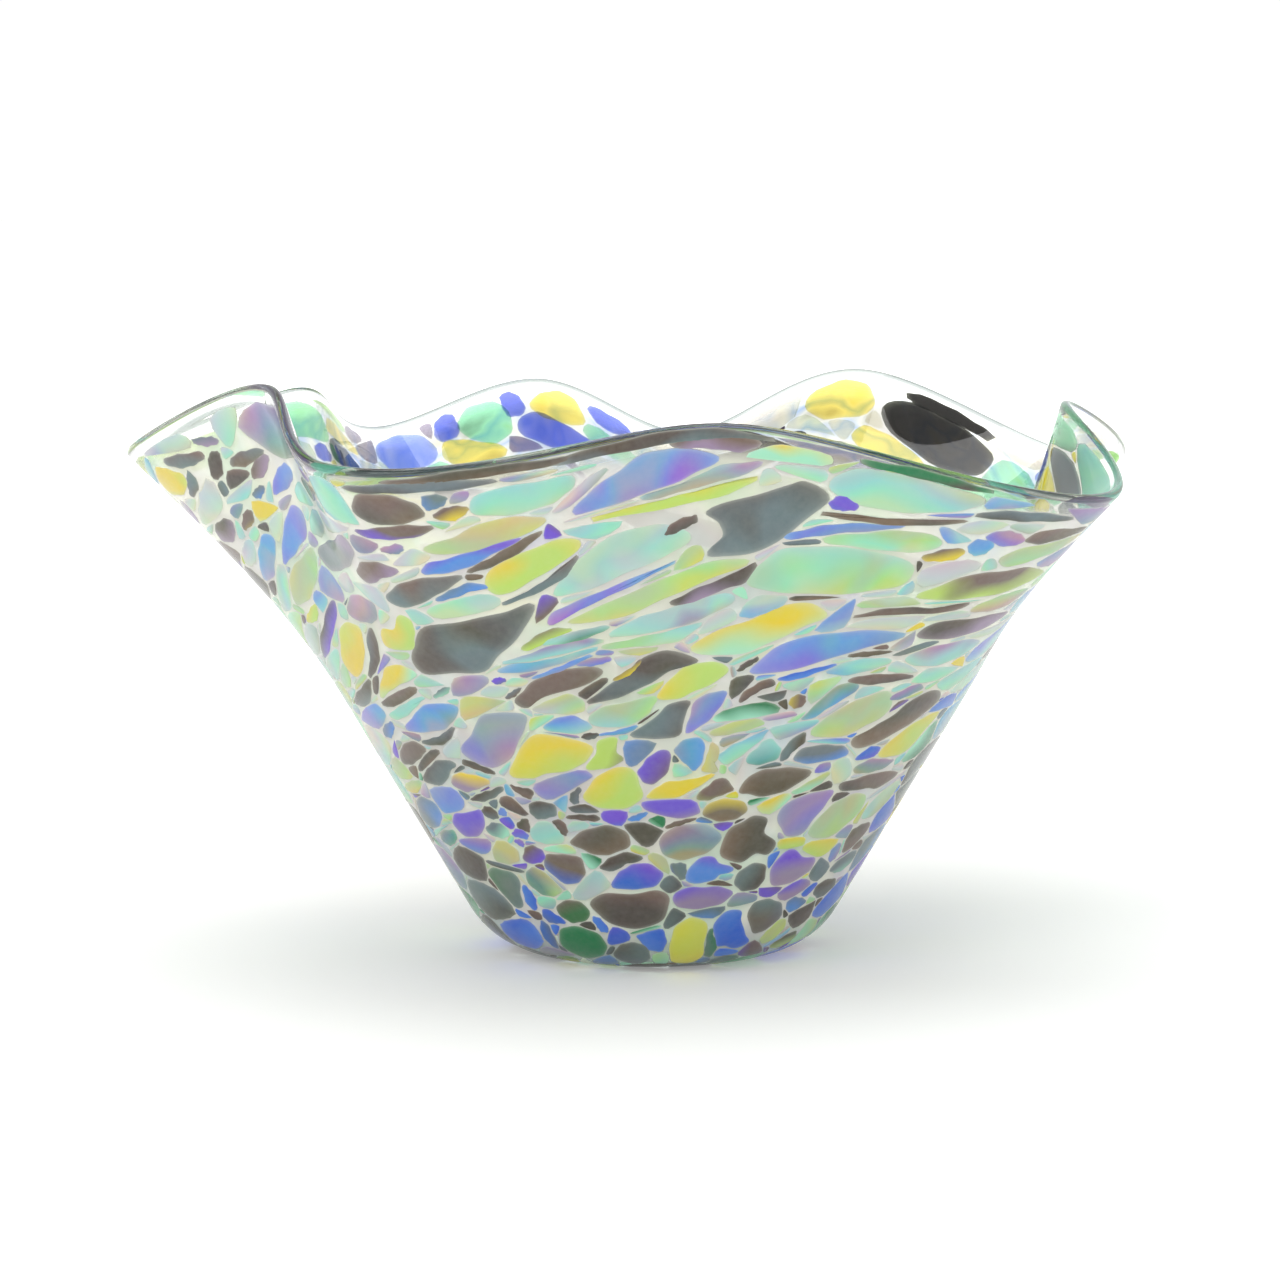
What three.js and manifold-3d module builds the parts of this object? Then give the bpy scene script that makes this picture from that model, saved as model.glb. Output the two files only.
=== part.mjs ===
// Hand blown art glass vase: a conical clear wall whose lip is fluted into
// low outward lobes and high inward folds, with coloured glass chips melted
// flush into its outside. Millimetres, +Z up, front towards -Y. The origin is
// the centre of the ground foot. Places on the wall are written as (turn, rise):
// turn is the angle round the axis in degrees from +X towards +Y, and rise is
// the distance up the outside of the wall from the edge of the foot.
import * as THREE from "three";
import * as BufferGeometryUtils from "three/addons/utils/BufferGeometryUtils.js";
import Module from "manifold-3d";

// Driving dimensions.
const FOOT_RADIUS = 25.5; // flat ground face that the vase stands on
const CORNER_RADIUS = 21; // rounding between the foot and the cone
const CONE_ANGLE = THREE.MathUtils.degToRad(59.5); // steepness of the cone
const CONE_TOP = 60.5; // height at which the fluting starts
const FLARE_REACH = 23.5; // how far the cone's direction carries into the flare
const FLARE_RISE = 75; // distance from the top of the cone to the lip
const LIP_THICKNESS = 2.4; // fire-polished lip, fully round
const FLOOR_THICKNESS = 7; // heavy floor of the bowl
const THICK_RISE = 60; // rise at which the wall has thinned to the lip's thickness
const CHIP_THICKNESS = 0.9; // how deep a coloured chip sits in the wall
const CHIP_GAP = 0.3; // clearance between a chip and its pocket
const POCKET_OVERSHOOT = 1.5; // how far a pocket's cutter stands outside the wall

// The lip: [turn, radius, height] of each outward lobe and inward fold.
const LIP = [
  [-30, 118, 112],
  [4, 99, 129],
  [43, 150, 108],
  [64, 123, 130],
  [85, 103, 114],
  [106, 108, 128],
  [128, 115, 116],
  [155, 97, 130],
  [177, 124, 117],
  [213, 104, 137],
  [233, 120, 122],
  [280, 94, 131],
];

// Steps of the faceted wall.
const TURN_STEPS = 80;
const CORNER_STEPS = 4;
const FLARE_STEPS = 7;
const LIP_STEPS = 4;
const CHIP_CURVE_STEPS = 2; // points of a chip's edge per point of its outline

const COLOURS = {
  clear: 0xe4e8dd,
  charcoal: 0x4a4a46,
  brown: 0x6d5f55,
  yellow: 0xd9cf45,
  lime: 0xb9d36a,
  mint: 0xa5dcb4,
  emerald: 0x2fa878,
  blue: 0x5f83cf,
  cobalt: 0x2f5fc4,
  violet: 0x6b4fd8,
  lilac: 0x9a86a8,
  slate: 0x73808c,
};

// The larger coloured chips: name, colour, and outline as [turn, rise] points.
const CHIPS = [
  ["charcoal_slab", "charcoal",
    [[229.7, 103.5], [232, 109.5], [236, 116.2], [243, 118.8], [249, 121], [253.3, 122.8],
     [250.5, 114.8], [246.5, 109], [243, 103.4], [237, 101.8], [231, 100.3]]],
  ["blue_leaf", "blue",
    [[218.5, 77], [222, 80.8], [225.5, 86], [229.5, 88.8], [235, 88.8], [232.5, 82.5], [229.5, 79.2],
     [223.5, 77.2]]],
  ["lilac_leaf", "lilac",
    [[231.5, 72.6], [235.5, 78], [239.5, 85.8], [243, 87.6], [247.6, 88], [247.4, 83.5], [245.5, 78.5],
     [242.5, 72.5], [237.5, 69.2]]],
  ["yellow_leaf", "yellow",
    [[241.3, 67.6], [244, 73], [247.5, 78.6], [252, 79.4], [258.8, 76.8], [257.5, 73], [254.5, 70.5],
     [249, 68.6], [245, 66.8]]],
  ["yellow_oval", "yellow",
    [[255.8, 62], [258, 66.5], [261.5, 70], [265.5, 71], [267, 66.5], [267.2, 62], [263.5, 59.3],
     [258.5, 59.8]]],
  ["brown_streak", "brown",
    [[246.6, 92.2], [248.5, 96], [251, 100.4], [255, 103.6], [260, 104.8], [262, 103], [258, 98.6],
     [252, 95.4], [248.6, 90.6]]],
  ["charcoal_leaf", "charcoal",
    [[259.2, 92.8], [261, 96.2], [265, 102], [268.5, 107.2], [272, 108.8], [276.8, 106.2],
     [272.5, 103.6], [268.5, 99.2], [264, 95]]],
  ["dark_wedge", "charcoal",
    [[266, 80.4], [269.5, 86.4], [272.3, 92.2], [275.6, 93.4], [274.9, 88], [274, 80.6], [270, 79.4]]],
  ["blue_wedge", "blue",
    [[275.4, 81.2], [276, 87], [276.8, 93.8], [279.5, 96.2], [281.6, 96], [280.4, 90.5], [278.2, 85.2]]],
  ["gold_wedge", "yellow",
    [[270.6, 95], [272, 99.5], [274.5, 104], [278.5, 105.4], [281.5, 104], [280.3, 100.8], [276.5, 97.2],
     [273.5, 94.4]]],
  ["gold_slab", "yellow",
    [[275.5, 109.6], [279.8, 114], [285, 117], [289, 120.2], [293.5, 121], [296, 118.6], [292.5, 115.4],
     [288, 111.4], [284, 108.2], [279, 107.6]]],
  ["cobalt_slab", "blue",
    [[285, 102.6], [287.5, 107.5], [291, 111.2], [297, 113.6], [303, 114.8], [310, 114], [305.5, 110.8],
     [300.5, 108], [295, 104.8], [289, 102.4]]],
  ["charcoal_hook", "charcoal",
    [[277.5, 131], [279.5, 134.5], [279, 137.5], [277, 139.6], [283, 142.3], [288, 145], [290.3, 146.7],
     [293.5, 144.3], [290, 138.8], [286.3, 133.5], [282, 131.2]]],
  ["blue_lip_leaf", "blue",
    [[260, 142.2], [261.8, 145.5], [265, 148.4], [268.5, 150.8], [273, 150.8], [278.6, 149.3],
     [275.5, 147], [271.5, 145.2], [265.5, 143.2]]],
  ["mint_leaf", "mint",
    [[256.2, 125.2], [259, 131], [264, 136.2], [270, 137.8], [274.8, 135.4], [272.5, 132.2],
     [266, 128.6], [260, 125.6]]],
  ["yellow_streak", "yellow",
    [[247.6, 128.6], [249.5, 132.6], [253, 135.2], [257, 137.2], [260.2, 136.6], [258.8, 133.5],
     [255, 130.2], [251.5, 127.4], [249, 126]]],
  ["umber_streak", "brown",
    [[231.6, 122.8], [233.2, 125.8], [236.5, 128.6], [240.5, 130.4], [245, 131], [242.5, 128.2],
     [239, 124.8], [235, 122]]],
  ["lime_streak", "lime",
    [[257.5, 117.8], [263, 121.5], [270, 125.6], [277, 129.2], [283.5, 130], [278, 126.2], [271, 122],
     [264, 118.2]]],
  ["mint_slab", "mint",
    [[283.4, 125], [285.5, 129.8], [288.5, 133], [294, 134.4], [301, 134.8], [306.5, 133], [306, 128.2],
     [301, 125.6], [295, 124], [288, 123.6]]],
  ["lime_lip_slab", "lime",
    [[293.5, 146], [294.8, 149.6], [299, 151.8], [305, 152], [311.5, 151], [309, 147.6], [304, 145.4],
     [298, 144.4]]],
  ["brown_lip_chip", "brown",
    [[234.8, 145], [236.2, 149.4], [240.5, 149.8], [243, 147.8], [242.8, 145.2], [238.5, 143.4]]],
  ["umber_right", "brown",
    [[308.9, 125.2], [312, 128.8], [315.5, 132.4], [320, 133.6], [325, 134.8], [331, 132.4],
     [326, 128.4], [320, 126.2], [313.5, 124.8]]],
  ["charcoal_right", "charcoal",
    [[312, 114.2], [315, 117.6], [320, 118.4], [326, 119.4], [331, 119], [328, 115.2], [322, 112.8],
     [314.5, 112.4]]],
  ["lilac_right", "lilac",
    [[312.3, 105.4], [315, 108.6], [320, 110], [326, 110.8], [329.5, 108.5], [326, 104.6], [321, 102.2],
     [316, 103]]],
  ["lime_right", "lime",
    [[298.8, 79], [300.5, 84.5], [304, 89.6], [308.5, 92.6], [312.6, 93.4], [314.6, 86], [311.5, 81],
     [305.5, 77.6]]],
  ["charcoal_band", "charcoal",
    [[308.6, 76.2], [312.5, 78.8], [316.5, 83], [319.5, 88], [323.5, 91], [328, 90], [329.5, 85.6],
     [326, 80.6], [321, 77.2], [316, 74.6], [311, 73.4]]],
  ["yellow_right", "yellow",
    [[317.8, 70.6], [320.5, 74.6], [325, 78.2], [330, 79.8], [333.5, 79.4], [331, 74.8], [328.5, 70.6],
     [322.5, 69.4]]],
  ["slate_pill", "slate",
    [[296.6, 72.6], [298.5, 75], [304, 75.2], [307.6, 74], [308.6, 71.8], [305, 71], [299, 71]]],
  ["umber_pebble", "brown",
    [[286.8, 64], [289, 68.2], [292, 69.6], [296.5, 69.6], [301.5, 67.8], [298, 63.8], [293.5, 62.2],
     [289, 63]]],
  ["lilac_pebble", "lilac",
    [[297.3, 57], [300, 60.4], [304, 61.4], [309, 61.6], [309, 58.4], [307, 54], [305, 49.8],
     [301.2, 49.8], [298.6, 53]]],
  ["lime_pebble", "lime",
    [[307.2, 49.6], [309, 54.4], [311.7, 57.8], [316, 59.6], [320.5, 58.4], [322, 54.4], [318.5, 50.2],
     [313.5, 47.6]]],
  ["charcoal_pebble", "charcoal",
    [[285.2, 46.6], [286.6, 52.4], [289.5, 54.8], [292, 56.4], [294.6, 55.2], [295, 51], [298.8, 47.6],
     [298, 44.8], [294.4, 45.2], [291, 43.2], [287.5, 44]]],
  ["grey_oval", "mint",
    [[271.2, 49], [273.2, 52.8], [277, 54.6], [281, 54.4], [284.6, 51.2], [283.6, 47.6], [280.5, 45.6],
     [276, 44.6], [272.6, 45.8]]],
  ["dark_oval", "brown",
    [[250.8, 48.8], [253.5, 51.6], [258, 53.6], [261.5, 54], [264.2, 51.6], [264, 48.4], [260.5, 46.2],
     [257.5, 45.6], [253.8, 47]]],
  ["violet_leaf", "violet",
    [[259.6, 36.2], [261.4, 40.2], [264.5, 42.6], [268.5, 43], [272, 40.4], [270.4, 37.2], [265.5, 35.8]]],
  ["violet_pebble", "violet",
    [[275, 32.4], [277.2, 35.4], [282, 36], [287.5, 35.6], [290.8, 33.6], [288.5, 31], [283, 30],
     [277.5, 30.2]]],
  ["violet_right", "violet",
    [[300.4, 38.6], [301.7, 43.6], [304.8, 45.4], [308.3, 42.6], [313.4, 41.2], [313.3, 38.2],
     [309, 35.8], [303, 35]]],
  ["maroon_pebble", "brown",
    [[252.8, 30.6], [255.5, 33.4], [260, 34.2], [266, 34.2], [271, 35.2], [273.8, 32.8], [273.4, 28.6],
     [271, 25.6], [264.5, 24.2], [258.8, 24.8], [254.7, 27.4]]],
  ["emerald_base", "emerald",
    [[238.8, 16.5], [240.2, 21.2], [244, 23.2], [249, 23.2], [253.2, 21.4], [254.4, 18.2], [253.2, 15],
     [249, 12.5], [243.5, 12]]],
  ["yellow_base", "yellow",
    [[275.2, 17.6], [275.7, 22.6], [277.8, 25.4], [281, 26.8], [285.2, 25.2], [285.6, 19], [286.4, 13],
     [284, 9.6], [278.5, 9.8], [276.2, 13]]],
  ["cobalt_base", "cobalt",
    [[287.8, 25.2], [291, 28.2], [294.5, 28.2], [296, 25.4], [298.6, 21], [301.2, 18.2], [298.3, 16],
     [294, 17.4], [290.8, 18], [288.8, 21.4]]],
  ["teal_pebble", "slate",
    [[222.1, 36], [224.4, 38.3], [229, 38.4], [232.4, 36.8], [231.2, 32.4], [229.8, 28], [226.5, 28],
     [223.4, 32]]],
  ["violet_left", "violet",
    [[217.7, 50.6], [220.5, 53.2], [225.5, 54.4], [229.4, 56], [229.6, 53.6], [227, 49.2], [223, 47.4],
     [219, 47.8]]],
  ["yellow_left", "yellow",
    [[206.7, 97.4], [208.7, 103.2], [211.5, 108.2], [215.5, 110.4], [218.4, 109.8], [216.8, 104],
     [213.8, 98], [209.5, 93.8]]],
  ["blue_left", "blue",
    [[201.7, 123.4], [204, 127.2], [207, 131.4], [210, 134.4], [212.7, 133.8], [212, 129.6],
     [208.5, 127], [204.5, 124.6]]],
  // Round the back and in the deep right-hand lobe, under the lip.
  ["back_charcoal", "charcoal",
    [[49.5, 143], [50, 147.8], [55, 150.5], [59.5, 149.8], [59.4, 145.5], [54, 142]]],
  ["back_lemon", "yellow",
    [[62.2, 147], [62.6, 151], [66, 152], [69, 150], [66.5, 145.6]]],
  ["back_gold", "yellow",
    [[54, 139.5], [58.2, 142.6], [61.6, 143.6], [61.8, 140.6], [57, 138.4]]],
  ["back_yellow", "yellow",
    [[100.4, 147.6], [101.4, 151.6], [104.5, 152], [107, 149.6], [105, 147]]],
  ["back_cobalt", "cobalt",
    [[99.4, 143.4], [103, 145.3], [107.4, 147.6], [109.2, 145], [106.5, 141.8], [103, 140.6]]],
  ["back_mint", "mint",
    [[110.6, 145.4], [111.8, 150.6], [115.5, 151.8], [116.8, 148], [113.5, 143.8]]],
  ["back_amber", "yellow",
    [[112, 140.9], [115.5, 144.2], [119.5, 146.4], [119.6, 142.6], [115.5, 139.6]]],
  ["back_pale_blue", "blue",
    [[121.8, 144.2], [122.3, 149.6], [126.5, 151.4], [130.2, 148.6], [128.8, 143.8]]],
  ["back_slate", "slate",
    [[138.3, 141.3], [142.5, 144.4], [148.2, 145], [148.4, 141.6], [143, 139.8]]],
  ["lobe_green", "lime",
    [[20.5, 146.8], [24, 151], [30, 152], [35.4, 150.5], [31.5, 147], [25, 145.3]]],
  ["lobe_blue", "blue",
    [[33.5, 143.8], [37.2, 147], [41.5, 149.8], [43.8, 147.8], [40.8, 144], [36.5, 141.8]]],
];

const material = (colour, roughness) =>
  new THREE.MeshStandardMaterial({ color: COLOURS[colour], roughness, metalness: 0 });

// Arc, cone and flare of the wall's outside, worked out once.
const CORNER_RISE = CORNER_RADIUS * CONE_ANGLE;
const CORNER_OUT = FOOT_RADIUS + CORNER_RADIUS * Math.sin(CONE_ANGLE);
const CORNER_UP = CORNER_RADIUS * (1 - Math.cos(CONE_ANGLE));
const CONE_RISE = CORNER_RISE + (CONE_TOP - CORNER_UP) / Math.sin(CONE_ANGLE);
const CONE_OUT = CORNER_OUT + (CONE_TOP - CORNER_UP) / Math.tan(CONE_ANGLE);
const LIP_RISE = CONE_RISE + FLARE_RISE;

// Radius and height of the lip at a turn: a smooth closed curve through LIP.
function lipAt(turn) {
  const count = LIP.length;
  const first = LIP[0][0];
  const angle = first + THREE.MathUtils.euclideanModulo(turn - first, 360);
  const at = (i) => {
    const wrap = Math.floor(i / count);
    const [a, radius, height] = LIP[i - wrap * count];
    return { a: a + 360 * wrap, v: new THREE.Vector2(radius, height) };
  };
  let i = 0;
  while (at(i + 1).a <= angle) i += 1;
  const p = [at(i - 1), at(i), at(i + 1), at(i + 2)];
  const slope = (m, n) => n.v.clone().sub(m.v).divideScalar(n.a - m.a);
  const tangent = (m, n, o) => slope(m, n).add(slope(n, o)).multiplyScalar(0.5 * (p[2].a - p[1].a));
  const u = (angle - p[1].a) / (p[2].a - p[1].a);
  const start = p[1].v.clone().multiplyScalar(2 * u ** 3 - 3 * u ** 2 + 1);
  const end = p[2].v.clone().multiplyScalar(3 * u ** 2 - 2 * u ** 3);
  const leave = tangent(p[0], p[1], p[2]).multiplyScalar(u ** 3 - 2 * u ** 2 + u);
  const arrive = tangent(p[1], p[2], p[3]).multiplyScalar(u ** 3 - u ** 2);
  return start.add(end).add(leave).add(arrive);
}

// Radius and height of the wall's outside at a turn and rise.
function meridian(turn, rise) {
  if (rise <= CORNER_RISE) {
    const a = Math.max(rise, 0) / CORNER_RADIUS;
    return new THREE.Vector2(FOOT_RADIUS + CORNER_RADIUS * Math.sin(a), CORNER_RADIUS * (1 - Math.cos(a)));
  }
  const along = new THREE.Vector2(Math.cos(CONE_ANGLE), Math.sin(CONE_ANGLE));
  if (rise <= CONE_RISE) {
    return new THREE.Vector2(CORNER_OUT, CORNER_UP).addScaledVector(along, rise - CORNER_RISE);
  }
  const start = new THREE.Vector2(CONE_OUT, CONE_TOP);
  const control = start.clone().addScaledVector(along, FLARE_REACH);
  const curve = new THREE.QuadraticBezierCurve(start, control, lipAt(turn));
  return curve.getPoint(Math.min((rise - CONE_RISE) / FLARE_RISE, 1));
}

function outside(turn, rise) {
  const { x: radius, y: height } = meridian(turn, rise);
  const a = THREE.MathUtils.degToRad(turn);
  return new THREE.Vector3(radius * Math.cos(a), radius * Math.sin(a), height);
}

// Outward normal and upward direction of the outside at a turn and rise.
function wallFrame(turn, rise) {
  const step = 0.25;
  const low = Math.max(rise - step, 0);
  const around = outside(turn + step, rise).sub(outside(turn - step, rise));
  const up = outside(turn, Math.min(low + 2 * step, LIP_RISE)).sub(outside(turn, low)).normalize();
  return { normal: around.cross(up).normalize(), up };
}

// A point under (positive depth) or over (negative depth) the outside.
function wallPoint(turn, rise, depth) {
  return outside(turn, rise).addScaledVector(wallFrame(turn, rise).normal, -depth);
}

function wallThickness(rise) {
  const thin = Math.min(rise / THICK_RISE, 1);
  return LIP_THICKNESS + (FLOOR_THICKNESS - LIP_THICKNESS) * (1 - thin) ** 2;
}

// A closed body from rings of equal length, with a centre point at each end.
function ringBody(rings, firstCentre, lastCentre) {
  const size = rings[0].length;
  const points = [firstCentre, ...rings.flat(), lastCentre];
  const last = points.length - 1;
  const vertex = (ring, i) => 1 + ring * size + (i % size);
  const faces = [];
  for (let i = 0; i < size; i += 1) {
    faces.push(0, vertex(0, i + 1), vertex(0, i));
    faces.push(last, vertex(rings.length - 1, i), vertex(rings.length - 1, i + 1));
    for (let ring = 0; ring + 1 < rings.length; ring += 1) {
      const [a, b] = [vertex(ring, i), vertex(ring, i + 1)];
      const [c, d] = [vertex(ring + 1, i + 1), vertex(ring + 1, i)];
      faces.push(a, b, c, a, c, d);
    }
  }
  const geometry = new THREE.BufferGeometry().setFromPoints(points);
  geometry.setIndex(faces);
  return geometry;
}

// The clear wall: up the outside, round the lip and down the inside.
function wallGeometry() {
  const turns = Array.from({ length: TURN_STEPS }, (_, i) => (360 * i) / TURN_STEPS);
  const lipEnd = LIP_RISE - LIP_THICKNESS / 2;
  const rises = [];
  for (let i = 0; i <= CORNER_STEPS; i += 1) rises.push((CORNER_RISE * i) / CORNER_STEPS);
  const innerRises = [...rises, (CORNER_RISE + THICK_RISE) / 2];
  for (let i = 0; i <= FLARE_STEPS; i += 1) {
    const rise = CONE_RISE + ((lipEnd - CONE_RISE) * i) / FLARE_STEPS;
    rises.push(rise);
    innerRises.push(rise);
  }
  const rings = rises.map((rise) => turns.map((turn) => outside(turn, rise)));
  for (let i = 1; i < LIP_STEPS; i += 1) {
    const a = (Math.PI * i) / LIP_STEPS;
    const half = LIP_THICKNESS / 2;
    rings.push(turns.map((turn) => {
      const { normal, up } = wallFrame(turn, lipEnd);
      return outside(turn, lipEnd)
        .addScaledVector(normal, -half * (1 - Math.cos(a)))
        .addScaledVector(up, half * Math.sin(a));
    }));
  }
  for (const rise of innerRises.reverse()) {
    rings.push(turns.map((turn) => wallPoint(turn, rise, wallThickness(rise))));
  }
  return ringBody(rings, new THREE.Vector3(), new THREE.Vector3(0, 0, FLOOR_THICKNESS));
}

// The smooth edge of a chip as [turn, rise] points, grown outwards by a margin.
function chipEdge(outline, margin) {
  const corners = outline.map(([turn, rise]) => new THREE.Vector3(turn, rise, 0));
  const edge = new THREE.CatmullRomCurve3(corners, true).getPoints(outline.length * CHIP_CURVE_STEPS);
  edge.pop();
  const centre = chipCentre(outline);
  const degree = THREE.MathUtils.degToRad(meridian(...centre).x);
  return edge.map((point, i) => {
    const before = edge[(i + edge.length - 1) % edge.length];
    const after = edge[(i + 1) % edge.length];
    const side = new THREE.Vector2((after.x - before.x) * degree, after.y - before.y).normalize();
    return [point.x - (side.y * margin) / degree, point.y + side.x * margin];
  });
}

function chipCentre(outline) {
  const sum = outline.reduce(([a, b], [turn, rise]) => [a + turn, b + rise], [0, 0]);
  return sum.map((value) => value / outline.length);
}

// A chip, or the cutter of its pocket, between two depths under the outside.
function chipGeometry(outline, margin, top, bottom) {
  const edge = chipEdge(outline, margin);
  const centre = chipCentre(outline);
  const ring = (depth) => edge.map(([turn, rise]) => wallPoint(turn, rise, depth)).reverse();
  return ringBody([ring(bottom), ring(top)], wallPoint(...centre, bottom), wallPoint(...centre, top));
}

const wasm = await Module();
wasm.setup();

function solid(geometry) {
  const merged = BufferGeometryUtils.mergeVertices(geometry);
  const vertProperties = new Float32Array(merged.attributes.position.array);
  const triVerts = new Uint32Array(merged.index.array);
  return new wasm.Manifold(new wasm.Mesh({ numProp: 3, vertProperties, triVerts }));
}

function geometryOf(manifold) {
  const mesh = manifold.getMesh();
  const geometry = new THREE.BufferGeometry();
  geometry.setAttribute("position", new THREE.BufferAttribute(mesh.vertProperties, mesh.numProp));
  geometry.setIndex(new THREE.BufferAttribute(mesh.triVerts, 1));
  return geometry;
}

function piece(name, geometry, colour, roughness) {
  const flat = geometry.toNonIndexed();
  flat.computeVertexNormals();
  const mesh = new THREE.Mesh(flat, material(colour, roughness));
  mesh.name = name;
  return mesh;
}

const vase = new THREE.Group();
let wall = solid(wallGeometry());
for (const [name, colour, outline] of CHIPS) {
  const pocket = chipGeometry(outline, CHIP_GAP, -POCKET_OVERSHOOT, CHIP_THICKNESS + CHIP_GAP);
  wall = wall.subtract(solid(pocket));
  vase.add(piece(name, chipGeometry(outline, 0, 0, CHIP_THICKNESS), colour, 0.12));
}
vase.add(piece("clear_wall", geometryOf(wall), "clear", 0.05));

export default vase;
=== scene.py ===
# Hand blown art glass vase: a clear conical wall with a fluted, fire-polished
# lip, and coloured glass chips melted into its outside. Lengths are in
# millimetres until they reach Blender. A place on the wall is (turn, rise):
# turn is in degrees round the axis from +X towards +Y, and rise is the distance
# up the outside of the wall from the edge of the foot.
import math
import random

import bpy
import numpy as np
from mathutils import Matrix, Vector


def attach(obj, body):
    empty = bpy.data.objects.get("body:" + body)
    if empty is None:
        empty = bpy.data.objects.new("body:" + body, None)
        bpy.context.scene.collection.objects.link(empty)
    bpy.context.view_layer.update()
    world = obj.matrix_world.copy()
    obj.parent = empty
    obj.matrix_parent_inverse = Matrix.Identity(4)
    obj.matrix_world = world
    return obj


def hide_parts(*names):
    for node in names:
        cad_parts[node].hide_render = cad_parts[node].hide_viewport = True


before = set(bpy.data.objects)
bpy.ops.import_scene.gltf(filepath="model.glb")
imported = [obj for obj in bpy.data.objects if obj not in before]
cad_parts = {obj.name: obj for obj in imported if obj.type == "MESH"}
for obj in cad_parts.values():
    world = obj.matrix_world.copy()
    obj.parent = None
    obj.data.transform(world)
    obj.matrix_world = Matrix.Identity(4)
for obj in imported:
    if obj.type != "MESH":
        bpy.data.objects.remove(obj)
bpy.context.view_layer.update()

MM = 0.001

# The wall, as the CAD model has it.
FOOT_RADIUS = 25.5
CORNER_RADIUS = 21.0
CONE_ANGLE = math.radians(59.5)
CONE_TOP = 60.5
FLARE_REACH = 23.5
FLARE_RISE = 75.0
LIP_THICKNESS = 2.4
FLOOR_THICKNESS = 7.0
THICK_RISE = 60.0
FOLD_RISE = 110.0  # above this the folds make the radius uneven

# The lip: (turn, radius, height) of each outward lobe and inward fold.
LIP = [
    (-30, 118, 112), (4, 99, 129), (43, 150, 108), (64, 123, 130),
    (85, 103, 114), (106, 108, 128), (128, 115, 116), (155, 97, 130),
    (177, 124, 117), (213, 104, 137), (233, 120, 122), (280, 94, 131),
]

CORNER_RISE = CORNER_RADIUS * CONE_ANGLE
CORNER_OUT = FOOT_RADIUS + CORNER_RADIUS * math.sin(CONE_ANGLE)
CORNER_UP = CORNER_RADIUS * (1 - math.cos(CONE_ANGLE))
CONE_RISE = CORNER_RISE + (CONE_TOP - CORNER_UP) / math.sin(CONE_ANGLE)
CONE_OUT = CORNER_OUT + (CONE_TOP - CORNER_UP) / math.tan(CONE_ANGLE)
LIP_RISE = CONE_RISE + FLARE_RISE


# ---------------------------------------------------------------- camera

def make_camera():
    eye = Vector((-3.2, -1050.0, 201.0)) * MM
    target = Vector((-3.2, 0.0, 72.9)) * MM
    data = bpy.data.cameras.new("camera")
    data.sensor_width = 36.0
    data.lens = 126.1
    data.clip_start = 0.01
    camera = bpy.data.objects.new("camera", data)
    camera.location = eye
    camera.rotation_euler = (target - eye).to_track_quat("-Z", "Y").to_euler()
    bpy.context.scene.collection.objects.link(camera)
    bpy.context.scene.camera = camera


make_camera()


# ---------------------------------------------------------------- wall shape

def lip_value(turn, column):
    """Radius (column 1) or height (column 2) of the lip, a smooth closed curve through LIP."""
    count = len(LIP)
    angle = np.array([LIP[i % count][0] + 360 * (i // count) for i in range(-1, count + 2)], float)
    value = np.array([LIP[i % count][column] for i in range(-1, count + 2)], float)
    slope = np.diff(value) / np.diff(angle)
    tangent = (slope[:-1] + slope[1:]) / 2
    place = (turn - angle[1]) % 360 + angle[1]
    span = np.clip(np.searchsorted(angle, place, side="right") - 2, 0, count - 1)
    width = angle[span + 2] - angle[span + 1]
    u = (place - angle[span + 1]) / width
    start = (2 * u**3 - 3 * u**2 + 1) * value[span + 1]
    end = (3 * u**2 - 2 * u**3) * value[span + 2]
    leave = (u**3 - 2 * u**2 + u) * tangent[span] * width
    arrive = (u**3 - u**2) * tangent[span + 1] * width
    return start + end + leave + arrive


def outside(turn, rise):
    """Points of the wall's outside at arrays of turn and rise."""
    turn, rise = np.broadcast_arrays(np.asarray(turn, float), np.asarray(rise, float))
    bend = np.clip(rise / CORNER_RADIUS, 0, CONE_ANGLE)
    along = np.clip(rise - CORNER_RISE, 0, CONE_RISE - CORNER_RISE)
    radius = FOOT_RADIUS + CORNER_RADIUS * np.sin(bend) + along * math.cos(CONE_ANGLE)
    height = CORNER_RADIUS * (1 - np.cos(bend)) + along * math.sin(CONE_ANGLE)
    u = np.clip((rise - CONE_RISE) / FLARE_RISE, 0, 1)
    bow = 2 * u * (1 - u)
    flare_radius = (1 - u)**2 * CONE_OUT + u**2 * lip_value(turn, 1)
    flare_radius += bow * (CONE_OUT + FLARE_REACH * math.cos(CONE_ANGLE))
    flare_height = (1 - u)**2 * CONE_TOP + u**2 * lip_value(turn, 2)
    flare_height += bow * (CONE_TOP + FLARE_REACH * math.sin(CONE_ANGLE))
    radius = np.where(rise > CONE_RISE, flare_radius, radius)
    height = np.where(rise > CONE_RISE, flare_height, height)
    angle = np.radians(turn)
    return np.stack([radius * np.cos(angle), radius * np.sin(angle), height], -1)


def wall_frame(turn, rise):
    """Outward normal and upward direction of the outside."""
    step = 0.2
    low = np.clip(np.asarray(rise, float) - step, 0, LIP_RISE - 2 * step)
    around = outside(turn + step, rise) - outside(turn - step, rise)
    up = outside(turn, low + 2 * step) - outside(turn, low)
    normal = np.cross(around, up)
    normal /= np.linalg.norm(normal, axis=-1, keepdims=True)
    up /= np.linalg.norm(up, axis=-1, keepdims=True)
    return normal, up


def wall_points(turn, rise, lift):
    """Points at a height over (or, negative, under) the wall's outside."""
    normal, _ = wall_frame(turn, rise)
    return outside(turn, rise) + normal * np.asarray(lift, float)[..., None]


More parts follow.
